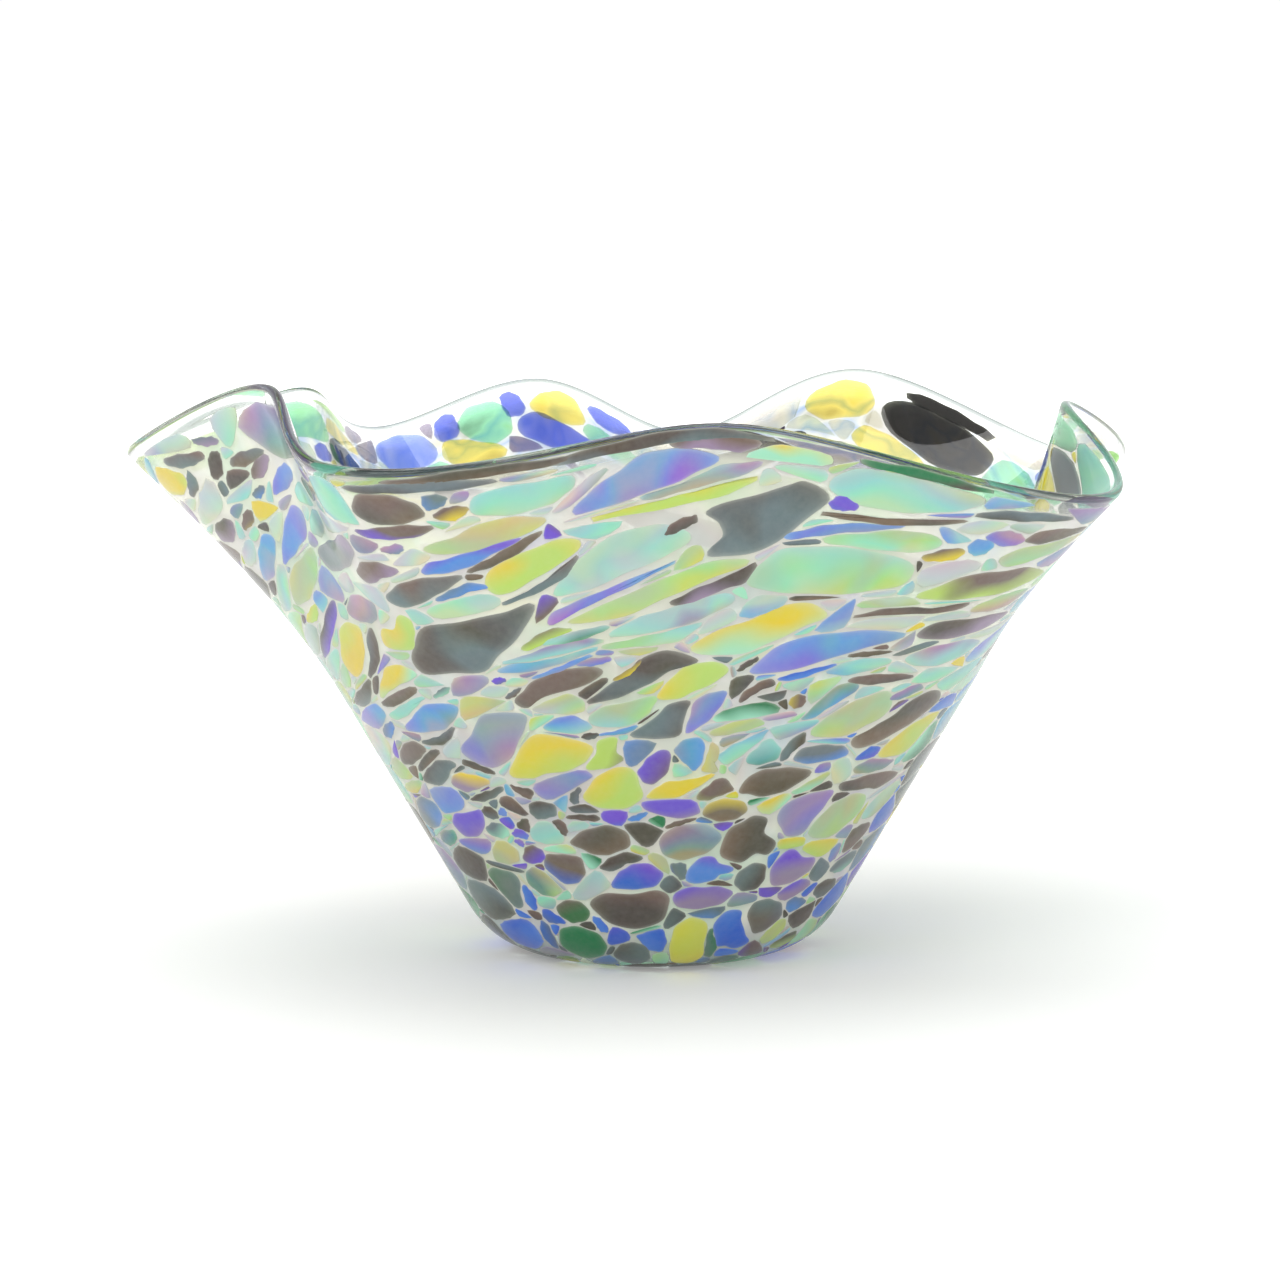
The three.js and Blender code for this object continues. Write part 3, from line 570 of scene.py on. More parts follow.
# The next smaller chips that can be told apart: glass, second hue and outline.
SMALLER_CHIPS = [
    # lip, front left to right
    ("slate", "blue", [(244, 147), (244, 149.4), (246.4, 149.3), (245.4, 147.4)]),
    ("brown", "yellow", [(244.4, 145), (246.4, 147), (248.3, 146.2), (246.5, 144.4)]),
    ("mint", "lime", [(248.6, 145.6), (250, 148.8), (255, 149.6), (260, 149.4), (259.4, 147), (257, 145),
     (252, 144.4)]),
    ("brown", "violet", [(233, 140.7), (236, 141.9), (241, 143.2), (243.8, 142.8), (240, 140.5),
     (236, 139.8)]),
    ("lilac", "slate", [(235.6, 137), (238.2, 138.6), (238.8, 137.6), (237, 136.4)]),
    ("lime", "yellow", [(241.5, 137.6), (245.5, 140.2), (250, 142.9), (255, 143), (256.3, 141.4),
     (251, 138.6), (246, 136.7)]),
    ("violet", "blue", [(240, 131.9), (241.5, 134.2), (245, 135.6), (249.5, 137.4), (253.5, 138.9),
     (249.5, 136), (245.4, 133), (242, 131.7)]),
    ("brown", "charcoal", [(246, 132), (248.6, 134.4), (252, 137), (256, 139.8), (253.4, 136.6),
     (249, 133)]),
    ("slate", "blue", [(240, 124.3), (242.5, 126.9), (245.5, 129), (247.9, 127.9), (245.5, 127.3),
     (242, 125.2)]),
    ("brown", "slate", [(249, 123.4), (252, 125.4), (256, 129), (259.8, 133.6), (258.2, 129.6),
     (253.6, 125.6)]),
    ("yellow", "lime", [(262, 140.4), (266, 141.4), (272, 142.4), (278, 143.8), (284, 146.2), (280, 143.2),
     (272, 141)]),
    ("mint", "lilac", [(268, 143.2), (274, 145), (279, 147.6), (284.5, 148.8), (280, 145.8), (273, 143.6)]),
    ("brown", "lilac", [(272, 152), (277, 152.6), (284, 152.4), (281.5, 150.6), (276.5, 151)]),
    ("brown", "charcoal", [(270.8, 135.4), (272.8, 137.8), (275.4, 138.9), (275.4, 137.7), (273.2, 136.3)]),
    ("blue", "violet", [(254.9, 117.5), (256, 120.7), (260, 123.2), (266, 126.4), (273, 130.2),
     (268.8, 127.4), (263.5, 123.8), (258, 120)]),
    ("charcoal", "lilac", [(272.2, 121), (275.5, 123.4), (280, 126), (284.4, 129.6), (283, 125.7),
     (279.5, 123.6), (274.8, 120.6)]),
    ("violet", "cobalt", [(293.6, 143.4), (295.2, 145.2), (297.2, 144), (295.4, 142.6)]),
    ("brown", "charcoal", [(292.6, 141), (297, 141.9), (304, 143.3), (311, 145.6), (305, 142.7),
     (298, 141.2)]),
    ("blue", "violet", [(288, 135.4), (291.5, 137.7), (297, 140), (303.6, 141.8), (297.6, 139),
     (292, 136.4)]),
    ("lime", "mint", [(293.4, 136), (298.4, 138.4), (304, 140.6), (308.6, 140.4), (308, 137.8), (303, 136),
     (297.5, 135.6)]),
    ("brown", "yellow", [(307.2, 135.4), (309.5, 137.8), (312.4, 138.7), (311.8, 136.5), (309.5, 135.1)]),
    ("blue", "mint", [(312.8, 139.2), (313.4, 141.7), (315.6, 141.4), (315.6, 138.8), (314, 138)]),
    ("lilac", "violet", [(314.2, 142.8), (316.3, 144.7), (318.6, 144.4), (319.8, 142.4), (317.5, 141.2)]),
    ("brown", "charcoal", [(320, 143.2), (322, 145.8), (327, 146.6), (331, 146), (327, 144),
     (322.8, 142.5)]),
    ("slate", "charcoal", [(311.4, 147.2), (314.6, 149.4), (320, 150.4), (325, 149.4), (320, 148.6),
     (315.4, 147.8)]),
    ("lime", "yellow", [(318.4, 137), (320, 140.2), (325, 142.2), (331, 144.4), (329, 140.9), (324.6, 137.6),
     (321, 135.6)]),
    ("charcoal", "brown", [(300, 118.5), (303.5, 120.5), (308, 121.7), (313, 122.2), (318.6, 124),
     (316, 121.6), (312, 120.6), (305, 119.9)]),
    ("lime", "lilac", [(319.8, 121.8), (322.5, 124.9), (326, 126.6), (331, 127.2), (328.5, 122.8),
     (324, 121)]),
    ("charcoal", "slate", [(258, 152.7), (264, 153.8), (272, 153.9), (280, 153.6), (286, 153), (278, 152.6),
     (270, 152.3), (262, 152.3)]),
    ("emerald", "charcoal", [(296.5, 152.7), (302, 153.8), (308, 153.8), (312, 153.2), (306, 152.6),
     (300, 152.4)]),
    ("charcoal", "brown", [(240, 152.8), (247, 153.8), (255, 153.6), (261, 152.9), (254, 152.5),
     (247, 152.6)]),
    ("slate", "charcoal", [(235, 151), (240, 152.3), (247, 152.4), (252, 151.2), (246, 150.9),
     (240, 150.7)]),
    ("blue", "violet", [(2, 144.3), (9, 145), (14, 144), (12, 139.5), (6, 138.5), (2, 140)]),
    # middle, left to right
    ("yellow", "lime", [(224.4, 107.2), (226, 112.3), (229, 113.5), (232.4, 118.8), (234, 117), (233, 112.8),
     (230.6, 108.2)]),
    ("lilac", "slate", [(216.5, 113), (219.5, 117.8), (224, 120.3), (227.4, 119.8), (225.2, 114.8),
     (222, 112.8)]),
    ("charcoal", "slate", [(214.4, 95), (217.4, 100.6), (219.5, 107.4), (222.8, 111.4), (222, 106.2),
     (219.8, 100.8), (216.6, 96.4)]),
    ("yellow", "mint", [(215.2, 88), (218.2, 94.6), (222, 99.8), (227, 101.6), (229, 99.4), (224.4, 95.6),
     (219.4, 91.4)]),
    ("slate", "charcoal", [(221.4, 73.7), (225, 75.3), (229, 77.4), (232.2, 79.6), (229.4, 75.8),
     (225.4, 73.9)]),
    ("mint", "cream", [(215, 80.2), (219, 84.4), (223.4, 88.2), (228, 91.2), (226.4, 88.8), (222.4, 84),
     (218, 80)]),
    ("brown", "charcoal", [(209, 66.4), (213, 70.8), (218, 73.6), (221.4, 72.2), (218, 69), (212.5, 66.4)]),
    ("charcoal", "slate", [(215, 62), (219, 66), (224, 69.1), (228.6, 69), (226, 66.8), (221, 62)]),
    ("yellow", "lilac", [(224.6, 63), (227.6, 65.8), (231, 66.3), (235.4, 65), (232, 62.6), (227.6, 61.2)]),
    ("charcoal", "brown", [(230.4, 69.3), (231.6, 70.3), (235, 69.3), (237.6, 67.8), (236, 67.3),
     (233, 68.5)]),
    ("brown", "lime", [(250.2, 110.5), (252.2, 113.6), (255.5, 116.1), (258, 115.8), (255, 114),
     (252.6, 111.3)]),
    ("mint", "emerald", [(253.4, 112.2), (256, 114.2), (261, 115.7), (263.5, 116), (260, 113.6),
     (256.4, 112)]),
    ("lilac", "mint", [(246.6, 106.1), (250, 108.2), (254, 110.9), (260, 112.9), (262.4, 112.3),
     (257, 109.8), (251, 107)]),
    ("mint", "blue", [(245.6, 103), (247.2, 105.3), (252, 106.4), (257, 108.6), (261.5, 110.6),
     (257.6, 107.5), (252, 104.4)]),
    ("blue", "violet", [(250.6, 101), (254, 103.9), (257.4, 106.6), (260.6, 108.4), (257.2, 105.4),
     (253.8, 102.9)]),
    ("lilac", "violet", [(258, 105.7), (260.4, 107.3), (263.2, 107.6), (262.4, 106.2), (260, 105.5)]),
    ("violet", "slate", [(243.8, 99.9), (245.4, 101.1), (246.1, 100.5), (244.8, 99)]),
    ("slate", "brown", [(245.3, 93.5), (246.4, 95.9), (248.4, 97.7), (247, 95.1)]),
    ("slate", "mint", [(230.6, 91.7), (232.5, 94.4), (235.1, 96.4), (233.2, 93.2)]),
    ("mint", "lilac", [(263.4, 113.4), (267, 117.2), (272, 119.6), (279.4, 122.4), (281.8, 121.4),
     (277.4, 117.6), (271, 114.6)]),
    ("lime", "mint", [(262, 110.6), (266, 112.2), (272, 113.8), (277, 116), (273.4, 111.8), (268.4, 110.6)]),
    ("mint", "blue", [(282.6, 118), (285, 122), (289.4, 122.4), (287.8, 119.4), (284.6, 117.6)]),
    ("brown", "yellow", [(263.5, 100.6), (266, 103.8), (268, 106.8), (267.4, 104.4), (265.6, 101.8)]),
    ("lime", "mint", [(259.4, 84.6), (259.4, 88), (262, 91.6), (267, 94), (270, 95.2), (269.6, 91.4),
     (268, 87.6), (264, 84)]),
    ("lime", "cream", [(249.6, 89.4), (251.8, 92.6), (256, 96), (258.4, 93), (257.8, 89.6), (253.5, 88.8)]),
    ("blue", "mint", [(250.8, 82.4), (253, 86.2), (256, 88), (258.2, 85.8), (259.3, 83.6), (256.8, 81),
     (252.4, 81.2)]),
    ("charcoal", "slate", [(257.3, 79.4), (258.6, 80.8), (260.2, 80.8), (259.4, 79.2)]),
    ("blue", "cobalt", [(260.4, 80.4), (263.2, 82), (267, 84.4), (265.8, 82.1), (263.2, 80.6)]),
    ("brown", "lime", [(257.4, 70.7), (259.2, 74), (260.4, 78.4), (263.4, 79.2), (263, 75.7), (264, 73.2),
     (261, 70.8)]),
    ("brown", "violet", [(267, 69.8), (268.4, 72.8), (270.3, 75.2), (272.4, 76), (272.7, 72.4),
     (271.5, 68.5), (269.4, 66.4), (268, 67.4)]),
    ("yellow", "lime", [(268.5, 62.6), (270.4, 65), (273, 67), (277.5, 67.6), (281.3, 68.8), (278.4, 65.6),
     (274, 62.8)]),
    ("blue", "cobalt", [(273.6, 76.1), (275.6, 78.9), (278.4, 78.8), (278.7, 74.5), (277.6, 70.2),
     (275.6, 72.7)]),
    ("lime", "mint", [(273.6, 71.6), (275.2, 71.6), (276.8, 69.6), (274, 68.7)]),
    ("lime", "yellow", [(279, 70.2), (279.8, 74.5), (280.3, 78), (281.5, 75.5), (281, 71.8), (281.8, 70)]),
    ("lime", "yellow", [(279.6, 81.2), (282.5, 84.6), (287.3, 86.2), (288.8, 84.2), (285, 81.6),
     (281.6, 80)]),
    ("blue", "mint", [(281.6, 73.9), (283.6, 76.5), (287, 78.9), (289.8, 81.6), (289, 78.8), (286.3, 74.6),
     (283.5, 72)]),
    ("mint", "emerald", [(287.2, 73), (288.8, 76.2), (290.5, 78.2), (293.2, 75.5), (292.8, 72.6),
     (289.2, 71.2)]),
    ("charcoal", "slate", [(293.9, 72.7), (294.4, 76.4), (297, 79.4), (297.8, 77), (296, 74.8),
     (295, 72.2)]),
    ("blue", "slate", [(295.8, 85.4), (297.6, 90), (300.5, 96.4), (303, 98.2), (305, 96.6), (303.2, 92.8),
     (300.2, 89), (297.7, 85.6)]),
    ("brown", "yellow", [(292.8, 92.3), (293.6, 94.6), (295.3, 93.7), (295.4, 91.3), (293.9, 89.8)]),
    ("brown", "charcoal", [(284.2, 92.7), (284.4, 95.6), (286.4, 98.6), (288.4, 100), (289.6, 98.6),
     (287, 96.8), (285.3, 94.4)]),
    ("cobalt", "blue", [(290, 100), (292.6, 101.8), (296.5, 103.4), (299.6, 104.4), (296, 102),
     (292.4, 99.9)]),
    ("brown", "charcoal", [(283.1, 102.9), (283.9, 104.7), (286.1, 106.8), (285.2, 104.8)]),
    ("brown", "charcoal", [(301, 107), (304.4, 108.4), (308.8, 108.2), (304.6, 107.2)]),
    ("mint", "blue", [(298, 102.2), (301.5, 105), (306, 106.2), (309.5, 105.3), (307, 102.8), (302, 101.2)]),
    ("brown", "charcoal", [(302.4, 98.9), (306, 100.3), (312, 100.2), (316.3, 98.6), (311, 97.4),
     (306, 97.4)]),
    ("lilac", "slate", [(313.2, 90.6), (315.4, 93.2), (318.5, 95), (321, 93.4), (318, 91.2), (315.6, 89.8)]),
    ("lime", "mint", [(298.7, 62.4), (302, 64.9), (306.3, 67.4), (305, 64.8), (302.2, 62.7)]),
    ("lilac", "slate", [(312.5, 67.3), (315.6, 69.3), (321, 68.6), (324.6, 67.8), (321, 66), (315.6, 65.8)]),
    ("brown", "charcoal", [(310.4, 63.2), (315, 64.2), (322, 64.7), (330, 63.4), (325, 60.6), (319.5, 60.9),
     (313, 61.2)]),
    ("mint", "lime", [(323.8, 52.2), (326.2, 57.3), (331, 60.3), (334.6, 59.5), (332.8, 54.7), (328, 51.4)]),
    ("yellow", "brown", [(280, 58), (282, 60.8), (285.5, 61.6), (288.8, 59.9), (289, 57.2), (286.5, 55.6),
     (282.6, 56)]),
    ("brown", "lime", [(278.6, 62.6), (280.6, 65.8), (283, 67.6), (285.6, 64.6), (283.4, 63.2),
     (280.6, 61.6)]),
    ("brown", "charcoal", [(272.4, 53.6), (275, 55.6), (278.8, 56.2), (276, 55)]),
    # pebbles
    ("charcoal", "slate", [(228.2, 58.8), (231.5, 60.5), (235, 62.2), (238.3, 63.6), (236, 60.9),
     (232, 59.1)]),
    ("charcoal", "slate", [(230.2, 55.5), (231.6, 57), (233.8, 56.7), (234, 54.6), (232, 53.8)]),
    ("blue", "violet", [(234.9, 55.6), (235.8, 57.2), (236.9, 56.5), (236.1, 55.2)]),
    ("charcoal", "brown", [(240.4, 64.4), (242.5, 63.7), (245.1, 63.3), (243.9, 61.1), (242.1, 61.9)]),
    ("charcoal", "slate", [(243, 57.5), (244.6, 59.8), (248.7, 59.8), (248.8, 56.9), (246, 55.4),
     (244, 55.6)]),
    ("brown", "charcoal", [(238.6, 52.6), (240.2, 54.3), (241.8, 54.4), (241.2, 51.5), (240.2, 51.3)]),
    ("violet", "blue", [(236.4, 50), (238.3, 51.4), (240.5, 50.3), (239.6, 49), (237.6, 49.3)]),
    ("lilac", "violet", [(236.4, 47.8), (237.6, 48.4), (238.6, 47.4), (237.6, 46.6)]),
    ("mint", "cream", [(241.4, 50.2), (243, 53), (246, 54.4), (248, 52.8), (249.3, 49.6), (246, 48.1),
     (243, 48.4)]),
    ("brown", "violet", [(237, 42.4), (238.4, 45.6), (241, 46.8), (243, 45.6), (242.6, 43.2), (240.5, 42)]),
    ("brown", "cobalt", [(242.8, 40.6), (244, 44.5), (248, 44.9), (252.2, 44.2), (252.8, 40.2),
     (250.3, 37.4), (246.5, 36.6)]),
    ("slate", "mint", [(229, 50), (231.5, 52.3), (234.8, 52), (235.2, 49.9), (232.5, 48.3)]),
    ("lime", "yellow", [(227.2, 41.6), (229.6, 45.8), (232.5, 47.5), (235.5, 45.3), (235.2, 42.2),
     (231, 40.9)]),
    ("lime", "emerald", [(235.6, 36.5), (237.6, 39.9), (240.6, 39.6), (245, 34.7), (242, 32.6),
     (238.2, 32.8)]),
    ("cobalt", "blue", [(232, 29.6), (233.4, 34.4), (235, 33.2), (235.5, 30.2), (234.4, 27.5)]),
    ("cobalt", "slate", [(236.2, 26.3), (238.1, 27.9), (241, 26.6), (243, 24.7), (240, 24.1),
     (237.6, 24.6)]),
    ("brown", "emerald", [(241.8, 27.8), (244.1, 30.4), (248, 31.5), (250.8, 29.8), (251.1, 26.6), (247, 25),
     (243.9, 25.6)]),
    ("cobalt", "blue", [(252.6, 26.8), (254.2, 26.4), (256.4, 23), (254.4, 22.8), (253.2, 24.3)]),
    ("slate", "cobalt", [(233.3, 21), (234.7, 24), (236.6, 22.8), (237, 18.6), (235.5, 15.2),
     (233.8, 17.2)]),
    ("emerald", "yellow", [(226, 6), (231.5, 9.8), (238, 11), (238.6, 8), (233, 4.6)]),
    ("slate", "charcoal", [(256.6, 13), (259, 17.8), (263, 19.4), (267.6, 17.6), (268, 12.4), (262, 9.6)]),
    ("charcoal", "slate", [(256, 4.4), (261, 7.8), (268, 8.6), (274.4, 9), (275.4, 5.4), (270, 3.4),
     (262, 3)]),
    ("cobalt", "blue", [(265, 21.6), (268, 22.6), (272.3, 23.4), (273.6, 20), (272.1, 16.6), (268.6, 17),
     (267, 19.2)]),
    ("charcoal", "slate", [(257, 41.6), (259.2, 44.2), (264, 46.4), (267.2, 44.8), (263.5, 43.4),
     (260.7, 41.4)]),
    ("brown", "charcoal", [(248, 54.6), (250, 55), (250.5, 52.2), (249.9, 50.8), (248.9, 52.4)]),
    ("charcoal", "brown", [(251, 56), (254.2, 56.9), (257.8, 56.9), (257.8, 55.5), (254.4, 55.9)]),
    ("mint", "cream", [(251.1, 52.4), (252, 54.6), (255.3, 54.7), (255.6, 53.9), (253, 52.6)]),
    ("slate", "charcoal", [(253.1, 60.4), (253.4, 63), (255.3, 64.9), (254.7, 62.8), (254.2, 60.6)]),
    ("slate", "blue", [(264.6, 55.9), (266.2, 57.4), (268.6, 58), (266.6, 56.2)]),
    ("violet", "blue", [(278.2, 38.2), (279.2, 43), (282.8, 45), (285.6, 43), (289.6, 41), (286.5, 39.7),
     (284, 37.8)]),
    ("mint", "blue", [(286.4, 38.6), (287.9, 39.5), (289.6, 39.3), (289.2, 38.1)]),
    ("slate", "cobalt", [(274, 42.7), (276, 43.3), (277.6, 42.3), (277.4, 39.2), (276.4, 38.7)]),
    ("charcoal", "slate", [(290.9, 38.3), (292.5, 41.1), (295.5, 42.1), (298.3, 40.7), (299, 37.2),
     (297.6, 35), (294.3, 34.2), (292, 35.6)]),
    ("slate", "brown", [(297.6, 27.4), (299.4, 30.4), (304, 30.6), (308.3, 28.6), (309.6, 24.4), (305, 21.2),
     (301.4, 21.8)]),
    ("emerald", "slate", [(287, 23.4), (288.2, 21), (290.2, 17), (290, 13), (287.8, 14.4), (286.8, 18)]),
    ("lime", "yellow", [(306, 18.8), (308, 21.5), (311, 24.2), (313.6, 22.3), (312.2, 18.2), (308.6, 16.9)]),
    ("slate", "blue", [(310.4, 28.6), (312.2, 30.2), (315.5, 29.6), (318, 28), (315, 26.4), (312, 26.6)]),
    ("charcoal", "slate", [(319.6, 31.2), (321.6, 33.5), (327, 33.7), (329.6, 31.5), (326.4, 29),
     (322.6, 29.3)]),
    ("brown", "charcoal", [(322.6, 47.6), (324.6, 48.8), (327.4, 49.6), (330.8, 48.2), (328.8, 44),
     (324.8, 41.8), (323, 43.8)]),
    ("lilac", "violet", [(318.4, 43.2), (320.2, 44.9), (321.6, 43), (321.3, 40.4), (319.9, 39.8)]),
    ("slate", "mint", [(322.4, 37.4), (325.6, 40.2), (331, 41), (332.6, 38), (329, 36), (325.2, 35.8)]),
    ("slate", "emerald", [(291.4, 8.7), (293.3, 11.8), (299, 12.7), (302.6, 10.4), (299, 7.5),
     (294.4, 6.6)]),
    ("charcoal", "lime", [(313.8, 15), (316.8, 18), (322, 18.8), (323.6, 15.6), (319, 13)]),
    # left lobe
    ("yellow", "lime", [(183.5, 145), (186.5, 149), (189.5, 147.4), (191.2, 145.3), (188, 142.9)]),
    ("brown", "slate", [(189.6, 149.2), (193, 148.9), (197, 147.4), (195, 146.4), (191.6, 147.4)]),
    ("slate", "brown", [(190.8, 143.6), (192.6, 145.8), (192.6, 142.8), (189.4, 141.8)]),
    ("charcoal", "brown", [(196.4, 142.7), (197.8, 146.5), (199.6, 146.1), (198.4, 143.2)]),
    ("slate", "lilac", [(196.6, 149.8), (199.4, 149.2), (200.4, 147.9), (198, 148.6)]),
    ("brown", "lilac", [(203.6, 140.6), (206, 143.2), (208.6, 143.4), (206.6, 140.8)]),
    ("slate", "brown", [(200.6, 143.8), (203.6, 145), (208, 144.4), (204, 143)]),
    ("slate", "blue", [(202.2, 137.4), (204, 138.6), (205.2, 138.2), (203.4, 137)]),
    ("charcoal", "lilac", [(187, 131.7), (189, 134.4), (193, 135.2), (194.3, 133.5), (191.5, 130.9)]),
    ("brown", "yellow", [(196.2, 132.2), (198, 134.5), (200.2, 135), (199, 132.7)]),
    ("mint", "cream", [(189.6, 124.7), (192, 128.3), (196, 129.6), (195.5, 127.1), (192.5, 124.8)]),
    ("blue", "violet", [(192, 120.6), (194.4, 124), (197, 127.4), (200.4, 129.9), (202.2, 128.2),
     (199.4, 124.2), (196, 121)]),
    ("blue", "violet", [(206.8, 137), (209.4, 140.4), (212.4, 142.2), (214, 140.8), (211.6, 138.6)]),
    ("lime", "yellow", [(198.7, 113.9), (201, 119.2), (205, 122.8), (209, 125), (212, 126.4), (211.2, 122),
     (207, 117.2), (203, 114.5)]),
    ("yellow", "lime", [(199.6, 109), (202, 111.4), (205.8, 113.5), (205.3, 111.2), (202.5, 109.2)]),
    ("charcoal", "violet", [(197.7, 98), (200.7, 103.3), (206, 108.8), (210, 113.2), (213.2, 115.2),
     (211.4, 111), (207, 106), (202.5, 100.7)]),
    ("mint", "lime", [(199.7, 88.7), (202.5, 93.3), (205.8, 97.2), (206.8, 95.6), (205.8, 91.7),
     (203, 88.8)]),
    ("charcoal", "slate", [(201.2, 81.7), (205, 86.4), (210, 90.4), (214, 93.8), (213, 90.4), (210.4, 85.8),
     (206, 82)]),
    ("slate", "blue", [(207.8, 73.6), (210.5, 76.4), (214.4, 78.4), (213.3, 75.8), (210.5, 73.6)]),
    ("lime", "yellow", [(201.2, 57.3), (205.5, 59.8), (212.8, 61.4), (210.4, 59), (205.6, 57)]),
    ("slate", "blue", [(199.7, 48.2), (203, 53.2), (209, 56.2), (214.2, 55.2), (213.2, 51), (207, 47.4)]),
    ("lime", "emerald", [(206, 43.8), (210, 46.6), (216, 48), (214.6, 45), (210, 43)]),
    ("slate", "lilac", [(213.4, 125.6), (218, 129), (224, 133.2), (229.4, 137.8), (229.6, 134), (226, 129),
     (221, 125.4), (216.4, 123)]),
    ("mint", "slate", [(213.8, 130.4), (217, 134.8), (222, 137.6), (221.4, 134), (217.4, 130.6)]),
    ("brown", "lilac", [(227.4, 127.6), (230, 131.6), (234, 133.2), (236.4, 131.8), (233, 129.4),
     (230, 126.8)]),
    ("charcoal", "slate", [(218, 141), (222, 144), (228, 147), (225, 142.6), (221, 140.2)]),
    # back wall and the deep lobe
    ("charcoal", "charcoal", [(50.8, 151), (53.5, 152.3), (58.5, 152.3), (57, 151.5)]),
    ("cobalt", "cobalt", [(117.7, 148.2), (117.9, 151.8), (119.7, 151.8), (119.9, 147.9)]),
    ("cobalt", "cobalt", [(108.6, 148.4), (109.4, 151.8), (110.9, 151.9), (110.4, 148.6)]),
    ("cobalt", "blue", [(93.5, 149.6), (95, 151.5), (98.8, 151.6), (97.5, 149)]),
    ("yellow", "yellow", [(137, 146.2), (141, 148.6), (147, 149.2), (148.5, 147.2), (143, 146)]),
    ("cobalt", "cobalt", [(150.2, 141), (151.4, 143), (153.6, 143), (152.8, 140.8)]),
    ("lilac", "slate", [(133.5, 151.3), (136.5, 152.2), (138.5, 150.4), (136, 149.4)]),
]

CURVE_STEPS = 5  # points of a chip's edge per point of its outline
SOFT_EDGE = 0.3  # mm that a chip's soft rim reaches past its outline
BACK_EDGE = 0.6  # the same round the back, where the chips have run further
THIN_RISE = 90.0  # above this, round the back, the chips thin out and let the light through
THIN_SPAN = 30.0  # rise over which they do so
WOBBLE = 0.12  # mm by which a chip's edge wavers
# Rings of a chip, as share of its outline and height over the wall's outside.
TOP_RINGS = [(1.0, -0.1), (0.985, 0.0), (0.95, 0.05), (0.86, 0.08), (0.68, 0.1), (0.45, 0.11), (0.2, 0.11)]
BOTTOM_RINGS = [(0.97, -0.5), (0.85, -0.8), (0.4, -0.85)]
RIM_BLEND = [1.0, 0.85, 0.45, 0.12, 0.0, 0.0, 0.0]  # how far each top ring blends into the cream
LUSTRE_RISE = 40.0  # below this rise the outside takes less of the lustre colour and its painted sheen, and more of the deep body colour
LEAST_LUSTRE = 0.35  # what is left of the lustre colour and its painted sheen at the foot
MATERIALS = {name: chip_glass(name) for name in GLASS}


def smooth_edge(outline, steps):
    """A closed Catmull-Rom curve through the outline's points."""
    points = np.array(outline, float)
    before, after, beyond = (np.roll(points, shift, 0) for shift in (1, -1, -2))
    edge = []
    for u in np.arange(steps) / steps:
        edge.append(0.5 * (2 * points + (after - before) * u
                           + (2 * before - 5 * points + 4 * after - beyond) * u**2
                           + (3 * points - before - 3 * after + beyond) * u**3))
    return np.stack(edge, 1).reshape(-1, 2)


def polygon_area(points):
    following = np.roll(points, -1, 0)
    return 0.5 * (points[:, 0] * following[:, 1] - following[:, 0] * points[:, 1]).sum()


def grown(edge, margin):
    """An edge moved outwards by a margin in mm, with a slight waver."""
    degree = degree_at(edge[:, 1].mean())
    along = np.roll(edge, -1, 0) - np.roll(edge, 1, 0)
    side = np.stack([along[:, 1], -along[:, 0] * degree], -1)
    side /= np.linalg.norm(side, axis=1, keepdims=True)
    lap = np.arange(len(edge)) * 2 * math.pi / len(edge)
    start = edge[0, 0] + edge[0, 1]
    wobble = WOBBLE * (np.sin(3 * lap + start) + np.sin(7 * lap + 2 * start))[:, None]
    return edge + math.copysign(1, polygon_area(edge)) * (margin + wobble) * side / np.array([degree, 1.0])


def chip_edge(outline, steps):
    """The smooth edge of a chip, larger than its outline, and more so round the back."""
    return grown(smooth_edge(outline, steps), SOFT_EDGE if outline[0][0] > 180 else BACK_EDGE)


def chip_body(edge, chance, blush):
    """Points, faces and attributes of one domed chip with the given edge."""
    count = len(edge)
    centre = edge.mean(0)
    spread = (edge - centre) * np.array([degree_at(centre[1]), 1.0])
    short = np.linalg.eigh(spread.T @ spread)[1][:, 0]
    half_width = np.abs(spread @ short).max()
    rings = BOTTOM_RINGS[::-1] + TOP_RINGS
    places = [centre + (edge - centre) * scale for scale, _ in rings] + [centre[None], centre[None]]
    lifts = [np.full(count, lift) for _, lift in rings] + [[BOTTOM_RINGS[-1][1]], [TOP_RINGS[-1][1]]]
    places = np.concatenate(places)
    points = wall_points(places[:, 0], places[:, 1], np.concatenate(lifts))
    faces = closed_faces(count, len(rings), len(points) - 2, len(points) - 1)
    bottoms = len(BOTTOM_RINGS)
    skin = [float(i >= bottoms) for i in range(len(rings))]
    rim = [0.0] * (bottoms - 1) + [0.5] + RIM_BLEND
    lustrous = np.clip(LEAST_LUSTRE + (1 - LEAST_LUSTRE) * places[:, 1] / LUSTRE_RISE, 0, 1)
    attributes = {
        "skin": np.concatenate([np.repeat(skin, count), [0.0, 1.0]]) * lustrous,
        "rim": np.concatenate([np.repeat(rim, count), [0.0, 0.0]]) * lustrous,
        "across": (places - centre) * np.array([degree_at(centre[1]), 1.0]) @ short / half_width,
        "chance": np.full(len(points), chance),
        "thin": np.clip((places[:, 1] - THIN_RISE) / THIN_SPAN, 0, 1) * (places[:, 0] % 360 < 180),
        "blush": np.tile(GLASS[blush]["lustre"], (len(points), 1)),
    }
    return points, faces, attributes


def build_chips():
    chance = random.Random(3)
    for name, glass, blush, outline in CHIPS:
        edge = chip_edge(outline, CURVE_STEPS)
        points, faces, attributes = chip_body(edge, chance.random(), blush)
        chip = make_piece(name + "_chip", points, faces, MATERIALS[glass], attributes)
        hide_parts(name)


